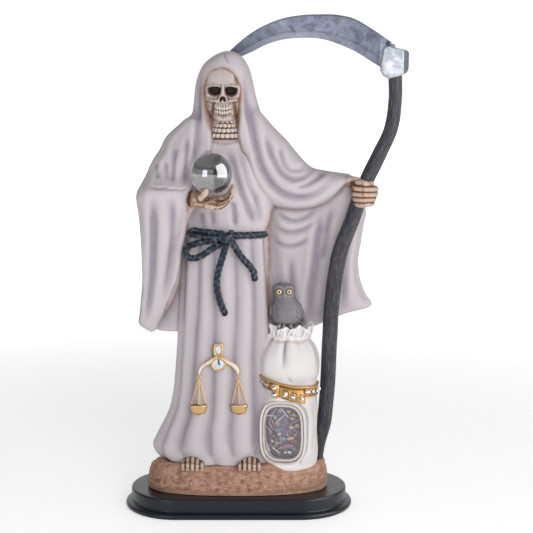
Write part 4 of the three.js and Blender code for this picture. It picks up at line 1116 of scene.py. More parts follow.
rope_parts = [
    rope(belt, 260),
    rope(bow, 220, 7.2),
    rope(bight, 180, 6.0),
    rope(left_end, 170, 7.4),
    rope(right_end, 120, 7.4),
    *knot_parts,
]
rope_mesh = gathered(rope_parts)
fine = hollows(rope_mesh, 3)
# hollow: painted shade between the strands; ridge: the strands' crests, where highlights are painted.
note(rope_mesh, "hollow", np.clip(fine / 0.00004, 0, 1))
note(rope_mesh, "ridge", np.clip(-fine / 0.00003, 0, 1))
cord_paint = Paint("rope paint", Roughness=0.4, Specular_IOR_Level=0.25)
patches = cord_paint.rise(cord_paint.noise(420, 4), 0.42, 0.66, (0.0, 0.9))
# Painted highlights in patches on the strands' crests.
crest_highlight = cord_paint.times(cord_paint.rise(cord_paint.held("ridge"), 0.35, 1.0), patches)
colour = cord_paint.mix(cord_paint.noise(150, 3), (0.003, 0.005, 0.009), (0.006, 0.010, 0.017))
colour = cord_paint.mix(crest_highlight, colour, (0.06, 0.082, 0.12))
cord_paint.set(Base_Color=cord_paint.mix(cord_paint.held("hollow"), colour, (0.002, 0.003, 0.005)))
cord_paint.bump(cord_paint.noise(1500, 3), 0.25, 0.0003)
piece("rope_belt", rope_mesh, cord_paint, "figure")


# Scales: a small balance in relief on the skirt: a framed finial over a dial, two drooping arms,
# and two pans on strings. Tubes and rings of wire and two turned dishes, cast on, in gold paint.
SCALES_X = -43.5
ARM = [(3, 314), (10, 310), (22, 301.5), (34, 294), (41, 285), (44, 274)]


def wire(points, radius, rows=24, flat=1.0):
    """A thin tube, round or flattened."""
    return tube(points, radius, 12, rows, None, flat)


def ring(middle, across, tall, thick, rows=72):
    """A closed loop of wire facing the viewer."""

    def place(u, v):
        a, b = TAU * v, TAU * u
        x = (across + thick * np.cos(b)) * np.cos(a)
        z = (tall + thick * np.cos(b)) * np.sin(a)
        return at(middle[0] + x, middle[1] + thick * np.sin(b), middle[2] + z)

    return skin(14, rows, place)


def pan(x, z, half):
    """A shallow dish with a rolled rim."""

    def place(u, v):
        steps = [0, 0.3, 0.5, 0.56, 0.64, 0.8, 1]
        out = np.interp(v, steps, [0.0, 0.8, 0.98, 1.04, 1.0, 0.82, 0.0])
        rise = np.interp(v, steps, [-24, -17, -5, -1.5, 0.5, -2, -3.5])
        return at(x + half * out * np.cos(TAU * u), -85 + 12 * out * np.sin(TAU * u), z + rise)

    return skin(40, 40, place)


def arm(toward, proud=0):
    """The middle of one of the beam's two drooping arms, so far in front of the beam."""
    return [(SCALES_X + toward * x, -88.5 - proud, z) for x, z in ARM]


def frame_place(u, v):
    """The finial's frame, an upright rounded oblong of wire."""
    a, b = TAU * v, TAU * u
    x, z = boxy(np.cos(a), 0.6), boxy(np.sin(a), 0.6)
    return at(SCALES_X + (9 + 2.6 * np.cos(b)) * x, -86 + 3.2 * np.sin(b), 330 + (13 + 2.6 * np.cos(b)) * z)


gold_parts = [
    skin(14, 72, frame_place),
    ring((SCALES_X, -87, 298), 14.5, 14.5, 2.7),
    wire(arm(-1), [[0, 4.0], [0.3, 5.4], [0.8, 5.2], [1, 4.2]], 60, 0.5),
    wire(arm(1), [[0, 4.0], [0.3, 5.4], [0.8, 5.2], [1, 4.2]], 60, 0.5),
    ring((-87.5, -86, 267), 3.0, 3.8, 1.6, rows=32),
    ring((1, -86, 267), 3.0, 3.8, 1.6, rows=32),
]
for top, (x, z) in (((-87.5, -86, 264), (-88.5, 204)), ((1, -86, 264), (2.5, 204.5))):
    gold_parts.append(pan(x, z, 19.5))
    for k in (-0.92, 0.0, 0.92):
        middle = ((top[0] + x) / 2 + 10 * k, -88, (top[2] + z) / 2)
        end = (x + 18 * k, -88 - 4 * (k == 0), z)
        gold_parts.append(wire([top, middle, end], 1.5, 20))
gold = gathered(gold_parts)
fine = hollows(gold, 3)
# hollow: brown in the hollows, partly painted shade; ridge: painted highlight on the crests.
note(gold, "hollow", np.clip(fine / 0.00004, 0, 1))
note(gold, "ridge", np.clip(-fine / 0.00003, 0, 1))


def gold_paint(name, light=(0.50, 0.285, 0.09), deep=(0.12, 0.045, 0.009)):
    """Antique gold paint: metallic, brown in the hollows, partly antiquing and partly painted shade, and
    paler on the crests as a painted highlight.
    """
    paint = Paint(name, Roughness=0.38, Metallic=0.5)
    colour = paint.mix(paint.noise(500, 4), (0.33, 0.17, 0.045), light)
    colour = paint.mix(paint.held("hollow"), colour, deep)
    colour = paint.mix(paint.times(paint.held("ridge"), 0.45), colour, (0.74, 0.52, 0.26))
    paint.set(Base_Color=colour)
    paint.bump(paint.noise(1300, 3), 0.2, 0.0002)
    return paint


piece("scales", gold, gold_paint("scales paint"), "figure")


# The scales' inlay, pale silvery blue: the dial's face, the ground inside the finial's frame and
# the arms' tops. Low cushions and flat wires on the gold, and a black needle across the dial.
def disc(middle, across, tall, deep):
    """A low round cushion facing the viewer."""

    def place(u, v):
        out = np.sin(np.pi * v) ** 0.7
        return at(middle[0] + across * out * np.cos(TAU * u), middle[1] - deep * np.cos(np.pi * v),
                  middle[2] + tall * out * np.sin(TAU * u))

    return skin(36, 16, place)


inlay = gathered([
    disc((SCALES_X, -86.5, 298), 13, 13, 3.0),
    disc((SCALES_X, -85.5, 330), 7, 11, 2.5),
    wire(arm(-1, 1.6)[1:], [[0, 1.4], [0.35, 2.7], [0.8, 2.5], [1, 1.4]], 50, 0.7),
    wire(arm(1, 1.6)[1:], [[0, 1.4], [0.35, 2.7], [0.8, 2.5], [1, 1.4]], 50, 0.7),
])
silver_paint = Paint("inlay paint", Roughness=0.3, Metallic=0.1)
colour = silver_paint.mix(silver_paint.noise(520, 3), (0.42, 0.46, 0.54), (0.72, 0.74, 0.78))
silver_paint.set(Base_Color=colour)
silver_paint.bump(silver_paint.noise(900, 2), 0.1, 0.0002)
piece("scales_inlay", inlay, silver_paint, "figure")
needle_line = [(-41.5, -90, 296), (-42.5, -91, 301), (SCALES_X, -90, 310)]
needle = gathered([wire(needle_line, [[0, 2.2], [0.4, 2.0], [1, 1.2]])])
black_paint = Paint("needle paint", Roughness=0.35)
colour = black_paint.mix(black_paint.noise(400, 3), (0.008, 0.009, 0.011), (0.02, 0.022, 0.026))
black_paint.set(Base_Color=colour)
piece("scales_needle", needle, black_paint, "figure")


# Mound: the earth and broken rock under the figure, resin painted red-brown and tan. A grid over
# an oval heap, swelled and cracked by noise, with a few pebbles at its left foot.
MOUND_ROWS = [[0, 205, 112], [20, 208, 113], [46, 207, 108], [60, 202, 101], [67, 190, 91]]


def mound_place(u, v):
    """Up the side and in over the top."""
    wall = np.clip(v / 0.55, 0, 1)
    inward = np.clip((v - 0.55) / 0.45, 0, 1)
    height = 1.2 + 63 * wall + 4 * inward * (1 - inward)
    length, width = along(MOUND_ROWS, height).T
    c, s = np.cos(TAU * u), np.sin(TAU * u)
    squash = 1 / np.maximum((np.abs(c) ** 2.5 + np.abs(s) ** 2.5) ** 0.4, 1e-6)
    height = height - 15 * np.clip(-c, 0, 1) ** 2 * np.clip(0.3 + s, 0, 1) * wall
    shrink = (1 - inward) ** 0.9 * (1 - 0.012 * (1 - np.cos(np.pi * wall)))
    return at(-3 + length * c * squash * shrink, width * s * squash * shrink, height)


def clamped(value):
    """The value, kept between 0 and 1."""
    return min(max(value, 0), 1)


mound = gathered([skin(420, 90, mound_place)])
co, normals, _ = spots_of(mound)
lift = np.empty(len(co))
for i, spot in enumerate(co):
    place = Vector(spot) * 1000
    swell = noise.fractal(place / 17, 1.0, 2.0, 3)
    rough = noise.fractal(Vector((place.x / 6.5, place.y / 6.5, place.z / 2.4)), 1.0, 2.1, 4)
    layer = noise.noise(Vector((place.x / 19, place.y / 19, place.z / 5.5))) + 0.12 * rough
    crack = bell(layer, 0.03) * clamped(2.2 * noise.noise(place / 9) + 0.1)
    seam = noise.noise(Vector((place.x / 8, place.y / 8, place.z / 16)) + Vector((7, 3, 1)))
    split = bell(seam, 0.03) * clamped(2.4 * noise.noise(place / 8 + Vector((3, 9, 4))) - 0.25)
    stones, _ = noise.voronoi(place / 6.0)
    where = clamped((-0.028 - spot[0]) / 0.02) * clamped((0.020 - spot[2]) / 0.006)
    pebble = max(0.0, 0.55 - stones[0]) * 2.6 * where
    pit = max(0.0, noise.noise(place / 1.9 + Vector((5, 1, 8))) - 0.62) * 2.2
    lift[i] = 1.5 * swell + 0.34 * rough - 0.9 * crack - 0.5 * split - pit + pebble
base = np.clip((co[:, 2] - PLINTH_TOP - 0.0006) / 0.003, 0, 1)
moved = co + normals * (lift * 0.0011 * base)[:, None]
moved[:, 2] = np.maximum(moved[:, 2], PLINTH_TOP + 0.0003)
move(mound, moved)
fine, broad = hollows(mound, 3), hollows(mound, 25)
# hollow: darker in the cracks and hollows as painted shade; ridge: paler on the crests as painted highlight.
note(mound, "hollow", np.clip(fine / 0.00009, 0, 1) * 0.7 + np.clip(broad / 0.0006, 0, 0.45))
note(mound, "ridge", np.clip(-fine / 0.00009, 0, 1) * 0.5 + np.clip(-broad / 0.0006, 0, 0.4))
earth = Paint("mound paint", Roughness=0.72)
tone = earth.noise(110, 5)
colour = earth.mix(earth.rise(tone, 0.35, 0.65), (0.27, 0.125, 0.075), (0.37, 0.19, 0.12))
colour = earth.mix(earth.rise(earth.noise(300, 5), 0.45, 0.75), colour, (0.45, 0.255, 0.17))
strata = earth.rise(earth.noise(260, 5, 0.65, (1, 1, 3)), 0.58, 0.72, (0.0, 0.55))
colour = earth.mix(strata, colour, (0.15, 0.062, 0.036))
colour = earth.mix(earth.times(earth.held("hollow"), 0.8), colour, (0.085, 0.032, 0.018))
colour = earth.mix(earth.times(earth.held("ridge"), 0.55), colour, (0.54, 0.33, 0.235))
earth.set(Base_Color=colour)
earth.bump(earth.noise(420, 5, 0.6), 0.3, 0.0006)
earth.bump(earth.noise(1900, 4), 0.25, 0.0003)
piece("mound", mound, earth, "figure")


# Sack: a tied money sack with a pleated neck and a crumpled frill, the robe's white with a pink
# wash. It carries the window's raised rim, which stands out of its lower half.
SACK_ROWS = [
    [51, 50, 46],
    [56, 57, 52],
    [66, 62, 56],
    [100, 66, 59],
    [150, 65.5, 60],
    [200, 64, 59],
    [238, 61.5, 55],
    [254, 62, 56],
    [272, 66.5, 60],
    [295, 68, 61.5],
    [318, 65, 58],
    [336, 57.5, 51],
    [352, 46, 43],
    [362, 42, 39],
]
SACK_X, SACK_Y = 115, -42
WINDOW_SPOT = (101, -99, 143)
WINDOW_TURN = -0.2
WINDOW_HALF = (43.3, 61.9)
WINDOW_BOW = 0.31


def window_spot(x, depth, z):
    """A place in the window's own plane, in thousandths: across, behind its front, up."""
    c, s = math.cos(WINDOW_TURN), math.sin(WINDOW_TURN)
    return at(WINDOW_SPOT[0] + x * c - depth * s, WINDOW_SPOT[1] + x * s + depth * c, WINDOW_SPOT[2] + z)


def window_share(co):
    """How far out each place lies in the window's rounded outline, 1 on its edge."""
    x, y, z = thousandths(co)
    x, y = x - WINDOW_SPOT[0], y - WINDOW_SPOT[1]
    across = (x * math.cos(WINDOW_TURN) + y * math.sin(WINDOW_TURN)) / WINDOW_HALF[0]
    tall = (z - WINDOW_SPOT[2]) / WINDOW_HALF[1]
    return (np.abs(across) ** (1 / WINDOW_BOW) + np.abs(tall) ** (1 / WINDOW_BOW)) ** WINDOW_BOW


def window_bow(u):
    """How far across and up the window's rounded outline runs, each from -1 to 1."""
    return boxy(np.cos(TAU * u), 2 * WINDOW_BOW), boxy(np.sin(TAU * u), 2 * WINDOW_BOW)


def sack_place(u, v):
    """Round the sack, pleated towards its neck and sunk behind the window."""
    height = within(SACK_ROWS, v)
    across, deep = along(SACK_ROWS, height).T
    angle = TAU * u
    neck_share = np.clip((height - 262) / 90, 0, 1) ** 1.2
    pleats = 2.2 * np.sin(8 * angle + 0.7) + 1.2 * np.sin(13 * angle + 2)
    crease = np.degrees(np.angle(np.exp(1j * (angle + np.pi / 2 + 0.2))))
    dip = bell(crease, 5.5) * np.clip((height - 285) / 40, 0, 1)
    fold = bell(crease - 14 + (height - 262) * 0.5, 6) * bell(height - 266, 9)
    out = neck_share * pleats - 5 * dip - 1.6 * fold
    out = out + 1.1 * np.sin(3 * angle + height / 31) + 0.8 * np.sin(5 * angle - height / 17)
    spot = at(SACK_X + (across + out) * np.cos(angle), SACK_Y + (deep + out) * np.sin(angle), height)
    recess = np.clip((1.14 - window_share(spot)) / 0.05, 0, 1) * (np.sin(angle) < 0)
    spot[:, 1] += recess * np.maximum(window_spot(0, 30, 0)[1] + 0.0012 - spot[:, 1], 0)
    return spot


def frill_place(u, v):
    """Up the outside of the frill, over its rim and down inside."""
    angle = TAU * u
    rim = np.sin(np.pi * np.clip(v, 0, 1)) ** 0.6
    wave = np.sin(9 * angle + 0.6) + 0.45 * np.sin(17 * angle + 1.9) + 0.3 * np.sin(5 * angle)
    steps = [0, 0.22, 0.45, 0.55, 0.8, 1]
    half = np.interp(v, steps, [41, 47, 50.5, 46.5, 34, 14])
    crumple = np.sin(23 * angle + 9 * v) * np.sin(17 * v + 3 * np.sin(7 * angle))
    crumple = crumple + 0.7 * np.sin(31 * angle - 14 * v)
    half = half + (2.6 * wave + 1.3 * crumple) * np.clip(v / 0.4, 0, 1) * np.clip((1 - v) / 0.3, 0, 1)
    rise = np.interp(v, steps, [345, 358, 379, 380, 373, 371])
    swing = 3.2 * np.sin(9 * angle - 0.7) + 2.0 * np.sin(4 * angle) + 1.2 * np.sin(21 * angle + 1)
    rise = rise + swing * rim
    return at(SACK_X + 3 + half * np.cos(angle), SACK_Y + 0.92 * half * np.sin(angle), rise)


def window_body(rows, columns, levels):
    """A body with the window's rounded outline: rows of [share, depth behind its front, extra]."""

    def place(u, v):
        depth, extra = along(rows, v).T
        bow = window_bow(u)
        x = np.maximum(WINDOW_HALF[0] + extra, 0) * bow[0]
        z = np.maximum(WINDOW_HALF[1] + extra, 0) * bow[1]
        return window_spot(x, depth, z)

    return skin(columns, levels, place)


sack_mesh = gathered([skin(220, 150, sack_place), skin(260, 36, frill_place)])
co, _, _ = spots_of(sack_mesh)
_, _, height = thousandths(co)
fine, broad = hollows(sack_mesh, 4), hollows(sack_mesh, 30)
# shade: painted shade in the hollows and in a soft band round the sack just above the belt, under its bulge;
# ridge: painted highlight on the crests.
shade_above_belt = 0.22 * bell(height - 262, 9)
note(sack_mesh, "shade", np.clip(fine / 0.00012, 0, 0.5) + np.clip(broad / 0.0009, 0, 0.38) + shade_above_belt)
note(sack_mesh, "ridge", np.clip(-broad / 0.0006, 0, 1))
note(sack_mesh, "brown", brown_lines(sack_mesh, [
    ([(166, 212), (169, 180), (170, 140), (166, 100)], 3.5, 0.22, -120, 60),
    ([(152, 150), (153, 122), (148, 95), (139, 68)], 1.8, 0.8, -140, 60),
    ([(70, 353), (92, 347), (115, 350), (140, 346), (160, 353)], 3.5, 0.4, -120, 60),
    ([(60, 335), (53, 310), (56, 280)], 4, 0.16, -120, 60),
]))
SACK_WHITE = ((0.62, 0.59, 0.59), (0.73, 0.705, 0.705))
piece("money_sack", sack_mesh, robe_paint("sack paint", *SACK_WHITE), "figure")

RIM_ROWS = [
    [0.0, 1.5, -2.8],
    [0.08, -2.0, -2.2],
    [0.16, -3.6, -0.2],
    [0.24, -3.0, 2.2],
    [0.31, -0.8, 3.8],
    [0.38, -3.6, 4.8],
    [0.47, -6.0, 6.6],
    [0.56, -5.2, 9.0],
    [0.64, -1.0, 10.8],
    [0.74, 7, 11.4],
    [0.9, 24, 11.8],
    [1.0, 34, 11.8],
]
rim_mesh = gathered([window_body(RIM_ROWS, 160, 72)])

# The rim is a frame, so the fans of triangles that close both its ends come out again
lid = bmesh.new()
lid.from_mesh(rim_mesh)
bmesh.ops.delete(lid, geom=[f for f in lid.faces if len(f.verts) == 3], context="FACES")
lid.to_mesh(rim_mesh)
lid.free()
broad = hollows(rim_mesh, 16)
co, _, _ = spots_of(rim_mesh)
# shade: painted shade in the hollows; ridge: painted highlight on the crests.
note(rim_mesh, "shade", np.clip(broad / 0.0004, 0, 0.5))
note(rim_mesh, "ridge", np.clip(-broad / 0.0003, 0, 1))
outline = window_share(co)
RIM_LINES = ((0.85, 0.945, 0.03), (0.8, 1.085, 0.022), (0.25, 1.0, 0.05), (0.35, 1.25, 0.03))
lines = [share * bell(outline - middle, width) for share, middle, width in RIM_LINES]
note(rim_mesh, "brown", np.max(lines, axis=0))
piece("window_rim", rim_mesh, robe_paint("window rim paint", *SACK_WHITE), "figure")


# What is sealed in the window: a dark ground with a purple middle, small beads, seeds and silver
# slivers, all inside the clear insert. Each bit keeps its own colour on the mesh.
dice = random.Random(7)


def window_bit(kind, x, z, depth, size, turn, long):
    """A bead or a sliver in the window."""
    bm = bmesh.new()
    if kind == "bead":
        bmesh.ops.create_uvsphere(bm, u_segments=14, v_segments=9, radius=size * SHARE)
        bmesh.ops.scale(bm, verts=bm.verts, vec=(long, 0.8, 1.0))
    else:
        bmesh.ops.create_cone(bm, cap_ends=True, segments=6, radius1=size * SHARE,
                              radius2=0.6 * size * SHARE, depth=long * SHARE)
        bmesh.ops.bevel(bm, geom=bm.edges[:], offset=0.2 * size * SHARE, segments=1, profile=0.5,
                        affect="EDGES", material=-1)
    bmesh.ops.rotate(bm, verts=bm.verts, matrix=Matrix.Rotation(turn, 3, "Y"))
    bmesh.ops.translate(bm, verts=bm.verts, vec=Vector(window_spot(x, depth, z)))
    return bm


BITS = [  # kind, across, up, size, turn in degrees, length, colour
    ("bead", -14, 18, 5.0, 10, 1.0, (0.62, 0.33, 0.24)),
    ("bead", -19, 33, 4.6, 40, 1.1, (0.55, 0.30, 0.21)),
    ("bead", -8, 49, 3.8, 0, 1.0, (0.60, 0.38, 0.33)),
    ("bead", -10, -5, 4.8, 0, 1.0, (0.66, 0.40, 0.33)),
    ("bead", -8, 8, 4.6, 0, 1.0, (0.10, 0.28, 0.33)),
    ("bead", -14, 4, 5.0, 20, 1.6, (0.13, 0.26, 0.33)),
    ("bead", -2, -15, 5.2, 10, 1.7, (0.07, 0.38, 0.38)),
    ("bead", 15, -14, 4.2, -8, 2.2, (0.86, 0.34, 0.10)),
    ("bead", 20, 32, 3.6, 0, 1.4, (0.62, 0.38, 0.10)),
    ("bead", 24, 40, 3.2, 30, 1.8, (0.72, 0.36, 0.10)),
    ("bead", 12, 48, 3.2, 15, 1.5, (0.66, 0.42, 0.16)),
    ("bead", 18, 12, 4.8, 0, 1.1, (0.66, 0.48, 0.20)),
    ("bead", 31, 16, 4.6, 20, 1.2, (0.58, 0.42, 0.16)),
    ("bead", 26, -6, 3.8, 0, 1.0, (0.52, 0.22, 0.08)),
    ("bead", 27, -20, 4.4, 0, 1.0, (0.46, 0.02, 0.09)),
    ("bead", 12, -31, 5.6, 10, 2.4, (0.38, 0.06, 0.16)),
    ("bead", -2, -36, 5.0, -10, 2.0, (0.32, 0.07, 0.22)),
    ("bead", 23, -38, 4.6, 0, 1.3, (0.10, 0.25, 0.27)),
    ("bead", -16, -26, 3.6, 20, 1.5, (0.50, 0.36, 0.24)),
    ("bead", -26, -22, 3.6, 0, 1.2, (0.56, 0.40, 0.26)),
    ("bead", -8, -24, 3.2, 0, 1.4, (0.42, 0.34, 0.24)),
    ("bead", 7, 2, 3.6, 0, 1.2, (0.30, 0.10, 0.24)),
    ("bead", -22, 12, 4.0, 0, 1.6, (0.20, 0.05, 0.10)),
    ("bead", -24, -10, 4.0, 0, 1.6, (0.16, 0.05, 0.10)),
    ("bead", 9, -5, 3.2, 0, 1.1, (0.36, 0.38, 0.50)),
    ("bead", 14, -46, 3.4, 0, 1.3, (0.74, 0.72, 0.74)),
    ("bead", 4, -47, 3.0, 0, 1.5, (0.62, 0.60, 0.64)),
    ("sliver", 2, 44, 1.5, -38, 26, (0.86, 0.88, 0.94)),
    ("sliver", -8, 30, 1.6, 48, 28, (0.80, 0.82, 0.88)),
    ("sliver", -32, 36, 1.7, 92, 20, (0.84, 0.82, 0.82)),
    ("sliver", -31, 18, 1.5, -14, 22, (0.46, 0.43, 0.46)),
    ("sliver", -26, 24, 1.4, -22, 20, (0.50, 0.47, 0.48)),
    ("sliver", -33, 4, 1.5, -38, 20, (0.52, 0.46, 0.44)),
    ("sliver", -30, -6, 1.4, -30, 18, (0.46, 0.42, 0.42)),
    ("sliver", -20, -40, 1.9, -48, 26, (0.66, 0.64, 0.68)),
    ("sliver", -28, -34, 1.4, -30, 18, (0.46, 0.42, 0.40)),
    ("sliver", 26, 6, 1.4, -40, 18, (0.40, 0.30, 0.16)),
    ("sliver", 27, 26, 1.4, 60, 20, (0.36, 0.32, 0.28)),
    ("sliver", -22, 46, 1.3, 30, 18, (0.48, 0.44, 0.42)),
]
DULL_TINTS = [
    (0.30, 0.24, 0.20), (0.10, 0.07, 0.09), (0.05, 0.05, 0.05),
    (0.42, 0.30, 0.14), (0.24, 0.19, 0.27), (0.14, 0.18, 0.18),
]
PURPLE_TINTS = [(0.20, 0.14, 0.27), (0.24, 0.18, 0.32)]
DARK_GROUND = (0.035, 0.026, 0.030)
PURPLE_GROUND = (0.19, 0.13, 0.26)


def window_plate(u, v):
    """The dark ground at the back of the window."""
    bow = window_bow(u)
    out = np.interp(v, [0, 0.35, 0.65, 1], [0, 1, 1, 0])
    depth = np.interp(v, [0.35, 0.65], [16, 22])
    return window_spot(41 * out * bow[0], depth, 60 * out * bow[1])


parts, colours = [skin(72, 60, window_plate)], [None]
for kind, x, z, size, turn, long, tint in BITS:
    parts.append(window_bit(kind, x, z, dice.uniform(7.5, 11.5), size, math.radians(turn), long))
    colours.append(tint)
for _ in range(90):
    angle, out = dice.uniform(0, TAU), dice.uniform(0.15, 0.95)
    x, z = 36 * out * math.cos(angle), 55 * out * math.sin(angle)
    tint = dice.choice(DULL_TINTS)
    if abs(x) < 13 and z > -30:
        tint = dice.choice(PURPLE_TINTS)
    kind = dice.choice(["bead", "sliver"])
    depth, size, turn = dice.uniform(12, 15), dice.uniform(1.2, 3.2), dice.uniform(0, 3)
    long = dice.uniform(1, 2) if kind == "bead" else dice.uniform(8, 18)
    parts.append(window_bit(kind, x, z, depth, size, turn, long))
    colours.append(tint)
tints = []
for bm, tint in zip(parts, colours):
    for vert in bm.verts:
        if tint:
            grey = sum(tint) / 3
            tints.append((*[0.8 * (0.7 * c + 0.3 * grey) for c in tint], 1.0))
        else:
            x = vert.co.x / SHARE - WINDOW_SPOT[0] - 2
            z = (vert.co.z - PLINTH_TOP) / SHARE - WINDOW_SPOT[2] - 6
            purple = math.exp(-(x / 17) ** 2 - (z / 38) ** 2)
            mixture = [a + purple * (b - a) for a, b in zip(DARK_GROUND, PURPLE_GROUND)]
            tints.append((*mixture, 1.0))
contents = gathered(parts)
layer = contents.attributes.new("tint", "FLOAT_COLOR", "POINT")
layer.data.foreach_set("color", np.array(tints, np.float32).ravel())
mixed = Paint("window contents paint", Roughness=0.35)
tint = mixed.node("ShaderNodeAttribute", attribute_name="tint").outputs["Color"]
grime = mixed.rise(mixed.noise(900, 4), 0.35, 0.75, (0.0, 0.45))
mixed.set(Base_Color=mixed.mix(grime, tint, (0.16, 0.12, 0.14)))
mixed.bump(mixed.noise(1500, 3), 0.2, 0.0002)
piece("window_contents", contents, mixed, "amulet_window")


# Window: the clear resin insert over them, domed in front. One closed body with the window's
# rounded outline, set in the rim.
RESIN_ROWS = [
    [0.0, -5.9, -43.3],
    [0.12, -5.9, -31],
    [0.3, -4.6, -12],
    [0.45, -2.2, -3.2],
    [0.52, 0.6, -0.9],
    [0.6, 3, 0],
    [0.85, 25, 0],
    [0.88, 25.9, -1],
    [1.0, 25.9, -43.3],
]
resin_mesh = gathered([window_body(RESIN_ROWS, 96, 60)])
resin = Paint("resin paint", Roughness=0.04, IOR=1.5, Alpha=0.11)
resin.set(Base_Color=resin.mix(resin.noise(300, 2), (0.88, 0.86, 0.90), (0.96, 0.95, 0.97)))
resin.bump(resin.noise(180, 2), 0.04, 0.0003)
piece("amulet_window_clear", resin_mesh, resin, "amulet_window")


# Band: a gold belt round the sack with raised rims, a cushion for a buckle and a loose end of three
# square settings, all cast on the sack. Grids laid on the sack's own round, and a collar a stone.
STRAP_STONES = (0.36, 0.62, 0.88)
BUCKLE_HEIGHT = 239.1


def sack_spot(angle, height, extra):
    """A place on the sack's skin, pushed out by extra."""
    across, deep = along(SACK_ROWS, height).T
    return at(SACK_X + (across + extra) * np.cos(angle), SACK_Y + (deep + extra) * np.sin(angle), height)


def band_middle(angle):
    """How high the belt's middle runs, lower in front and on the right."""
    return 249 - 12 * np.cos(angle) - 9 * np.maximum(0, -np.sin(angle))


def band_place(u, v):
    """Round the band: a flat belt between two rolled rims."""
    angle = TAU * u
    steps = [0, 0.12, 0.2, 0.28, 0.36, 0.56, 0.64, 0.78, 0.88, 1]
    drop = np.interp(v, steps, [-8, -12.5, -13, -11, -9, 5.5, 7, 11, 13.5, 8])
    out = np.interp(v, steps, [-3, 1, 3.8, 4.2, 1.8, 1.8, 5.2, 7.4, 2.5, -3])
    return sack_spot(angle, band_middle(angle) + drop, out)


def strap_angle(share):
    """Which way the loose end faces, so far along it."""
    return np.radians(-120 + 60 * share)


def strap_spot(share, rise, out):
    """A place on the loose end: along it, across it and out of the sack."""
    return sack_spot(strap_angle(share), 240 - 22 * share + rise, out)


def beside(base, angle, side, up, lift):
    """Places moved from a base that faces that angle: sideways, up and outward."""
    c, s = math.cos(angle), math.sin(angle)
    return base + np.stack([lift * c - side * s, side * c + lift * s, up], axis=-1) * SHARE


def strap_place(u, v):
    """Round the loose end's section, from the buckle to its rounded tip."""
    share = 1.03 * v
    wide = np.interp(v, [0, 0.05, 0.9, 0.96, 1], [9.5, 12.2, 12.2, 10.2, 6.5])
    cell = np.interp(np.mod((v - 0.235) / 0.262, 1), [0, 0.08, 0.16, 0.84, 0.92, 1], [1, 0.9, 0, 0, 0.9, 1])
    s, c = np.sin(TAU * u), np.cos(TAU * u)
    rise = wide * boxy(s, 0.4)
    border = np.clip((np.abs(rise) / wide - 0.78) / 0.1, 0, 1)
    top = 5.2 + 1.7 * np.maximum(cell, border)
    out = np.where(c > 0, top * np.abs(c) ** 0.25, -2.0 * np.abs(c) ** 0.5)
    return strap_spot(share, rise, out)


def setting(base, angle, radius, thick):
    """A round collar for a stone."""

    def place(u, v):
        a, b = TAU * v, TAU * u
        reach = radius + thick * np.cos(b)
        return beside(base, angle, reach * np.cos(a), reach * np.sin(a), 1.3 * thick * np.sin(b))

    return skin(10, 36, place)


def buckle_place(u, v):
    """The buckle's body, a rounded oblong cushion under its two stones."""
    out = np.sin(np.pi * v) ** 0.5
    side = 9.5 * out * boxy(np.cos(TAU * u), 0.7)
    up = 17.5 * out * boxy(np.sin(TAU * u), 0.7)
    base = sack_spot(BUCKLE_ANGLE, BUCKLE_HEIGHT, 4.0)
    return beside(base, BUCKLE_ANGLE, side, up, -5.2 * np.cos(np.pi * v))


BAND_STONES = [math.radians(a) for a in (-152, -138, -52, -40, -28, -14)]
BUCKLE_ANGLE = math.radians(-117.6)
band_parts = [skin(180, 44, band_place), skin(40, 150, strap_place), skin(40, 24, buckle_place)]
for angle in BAND_STONES:
    band_parts.append(setting(sack_spot(angle, band_middle(angle), 4.6), angle, 6.2, 1.3))
for share in STRAP_STONES:
    band_parts.append(setting(strap_spot(share, 0, 7.4), strap_angle(share), 6.4, 1.5))
for up in (-8, 8):
    base = sack_spot(BUCKLE_ANGLE, BUCKLE_HEIGHT + up, 10.2)
    band_parts.append(setting(base, BUCKLE_ANGLE, 5.8, 1.9))
band_mesh = gathered(band_parts)
fine, broad = hollows(band_mesh, 3), hollows(band_mesh, 14)
# hollow: brown in the hollows, partly painted shade; ridge: painted highlight on the crests.
note(band_mesh, "hollow", np.clip(fine / 0.00005, 0, 1) * 0.8 + np.clip(broad / 0.0003, 0, 0.4))
note(band_mesh, "ridge", np.clip(-fine / 0.00004, 0, 1))
BAND_COLOURS = ((0.50, 0.275, 0.08), (0.12, 0.042, 0.008))
piece("gold_band", band_mesh, gold_paint("band paint", *BAND_COLOURS), "figure")


# Stones: eleven round foil-backed rhinestones, glued on where the CAD has them. A cone with a cut
# crown over a flat back, turned outward from the sack.
stone_paint = Paint("rhinestone paint", Roughness=0.06, Metallic=0.75, Coat_Weight=1.0, Coat_Roughness=0.02)
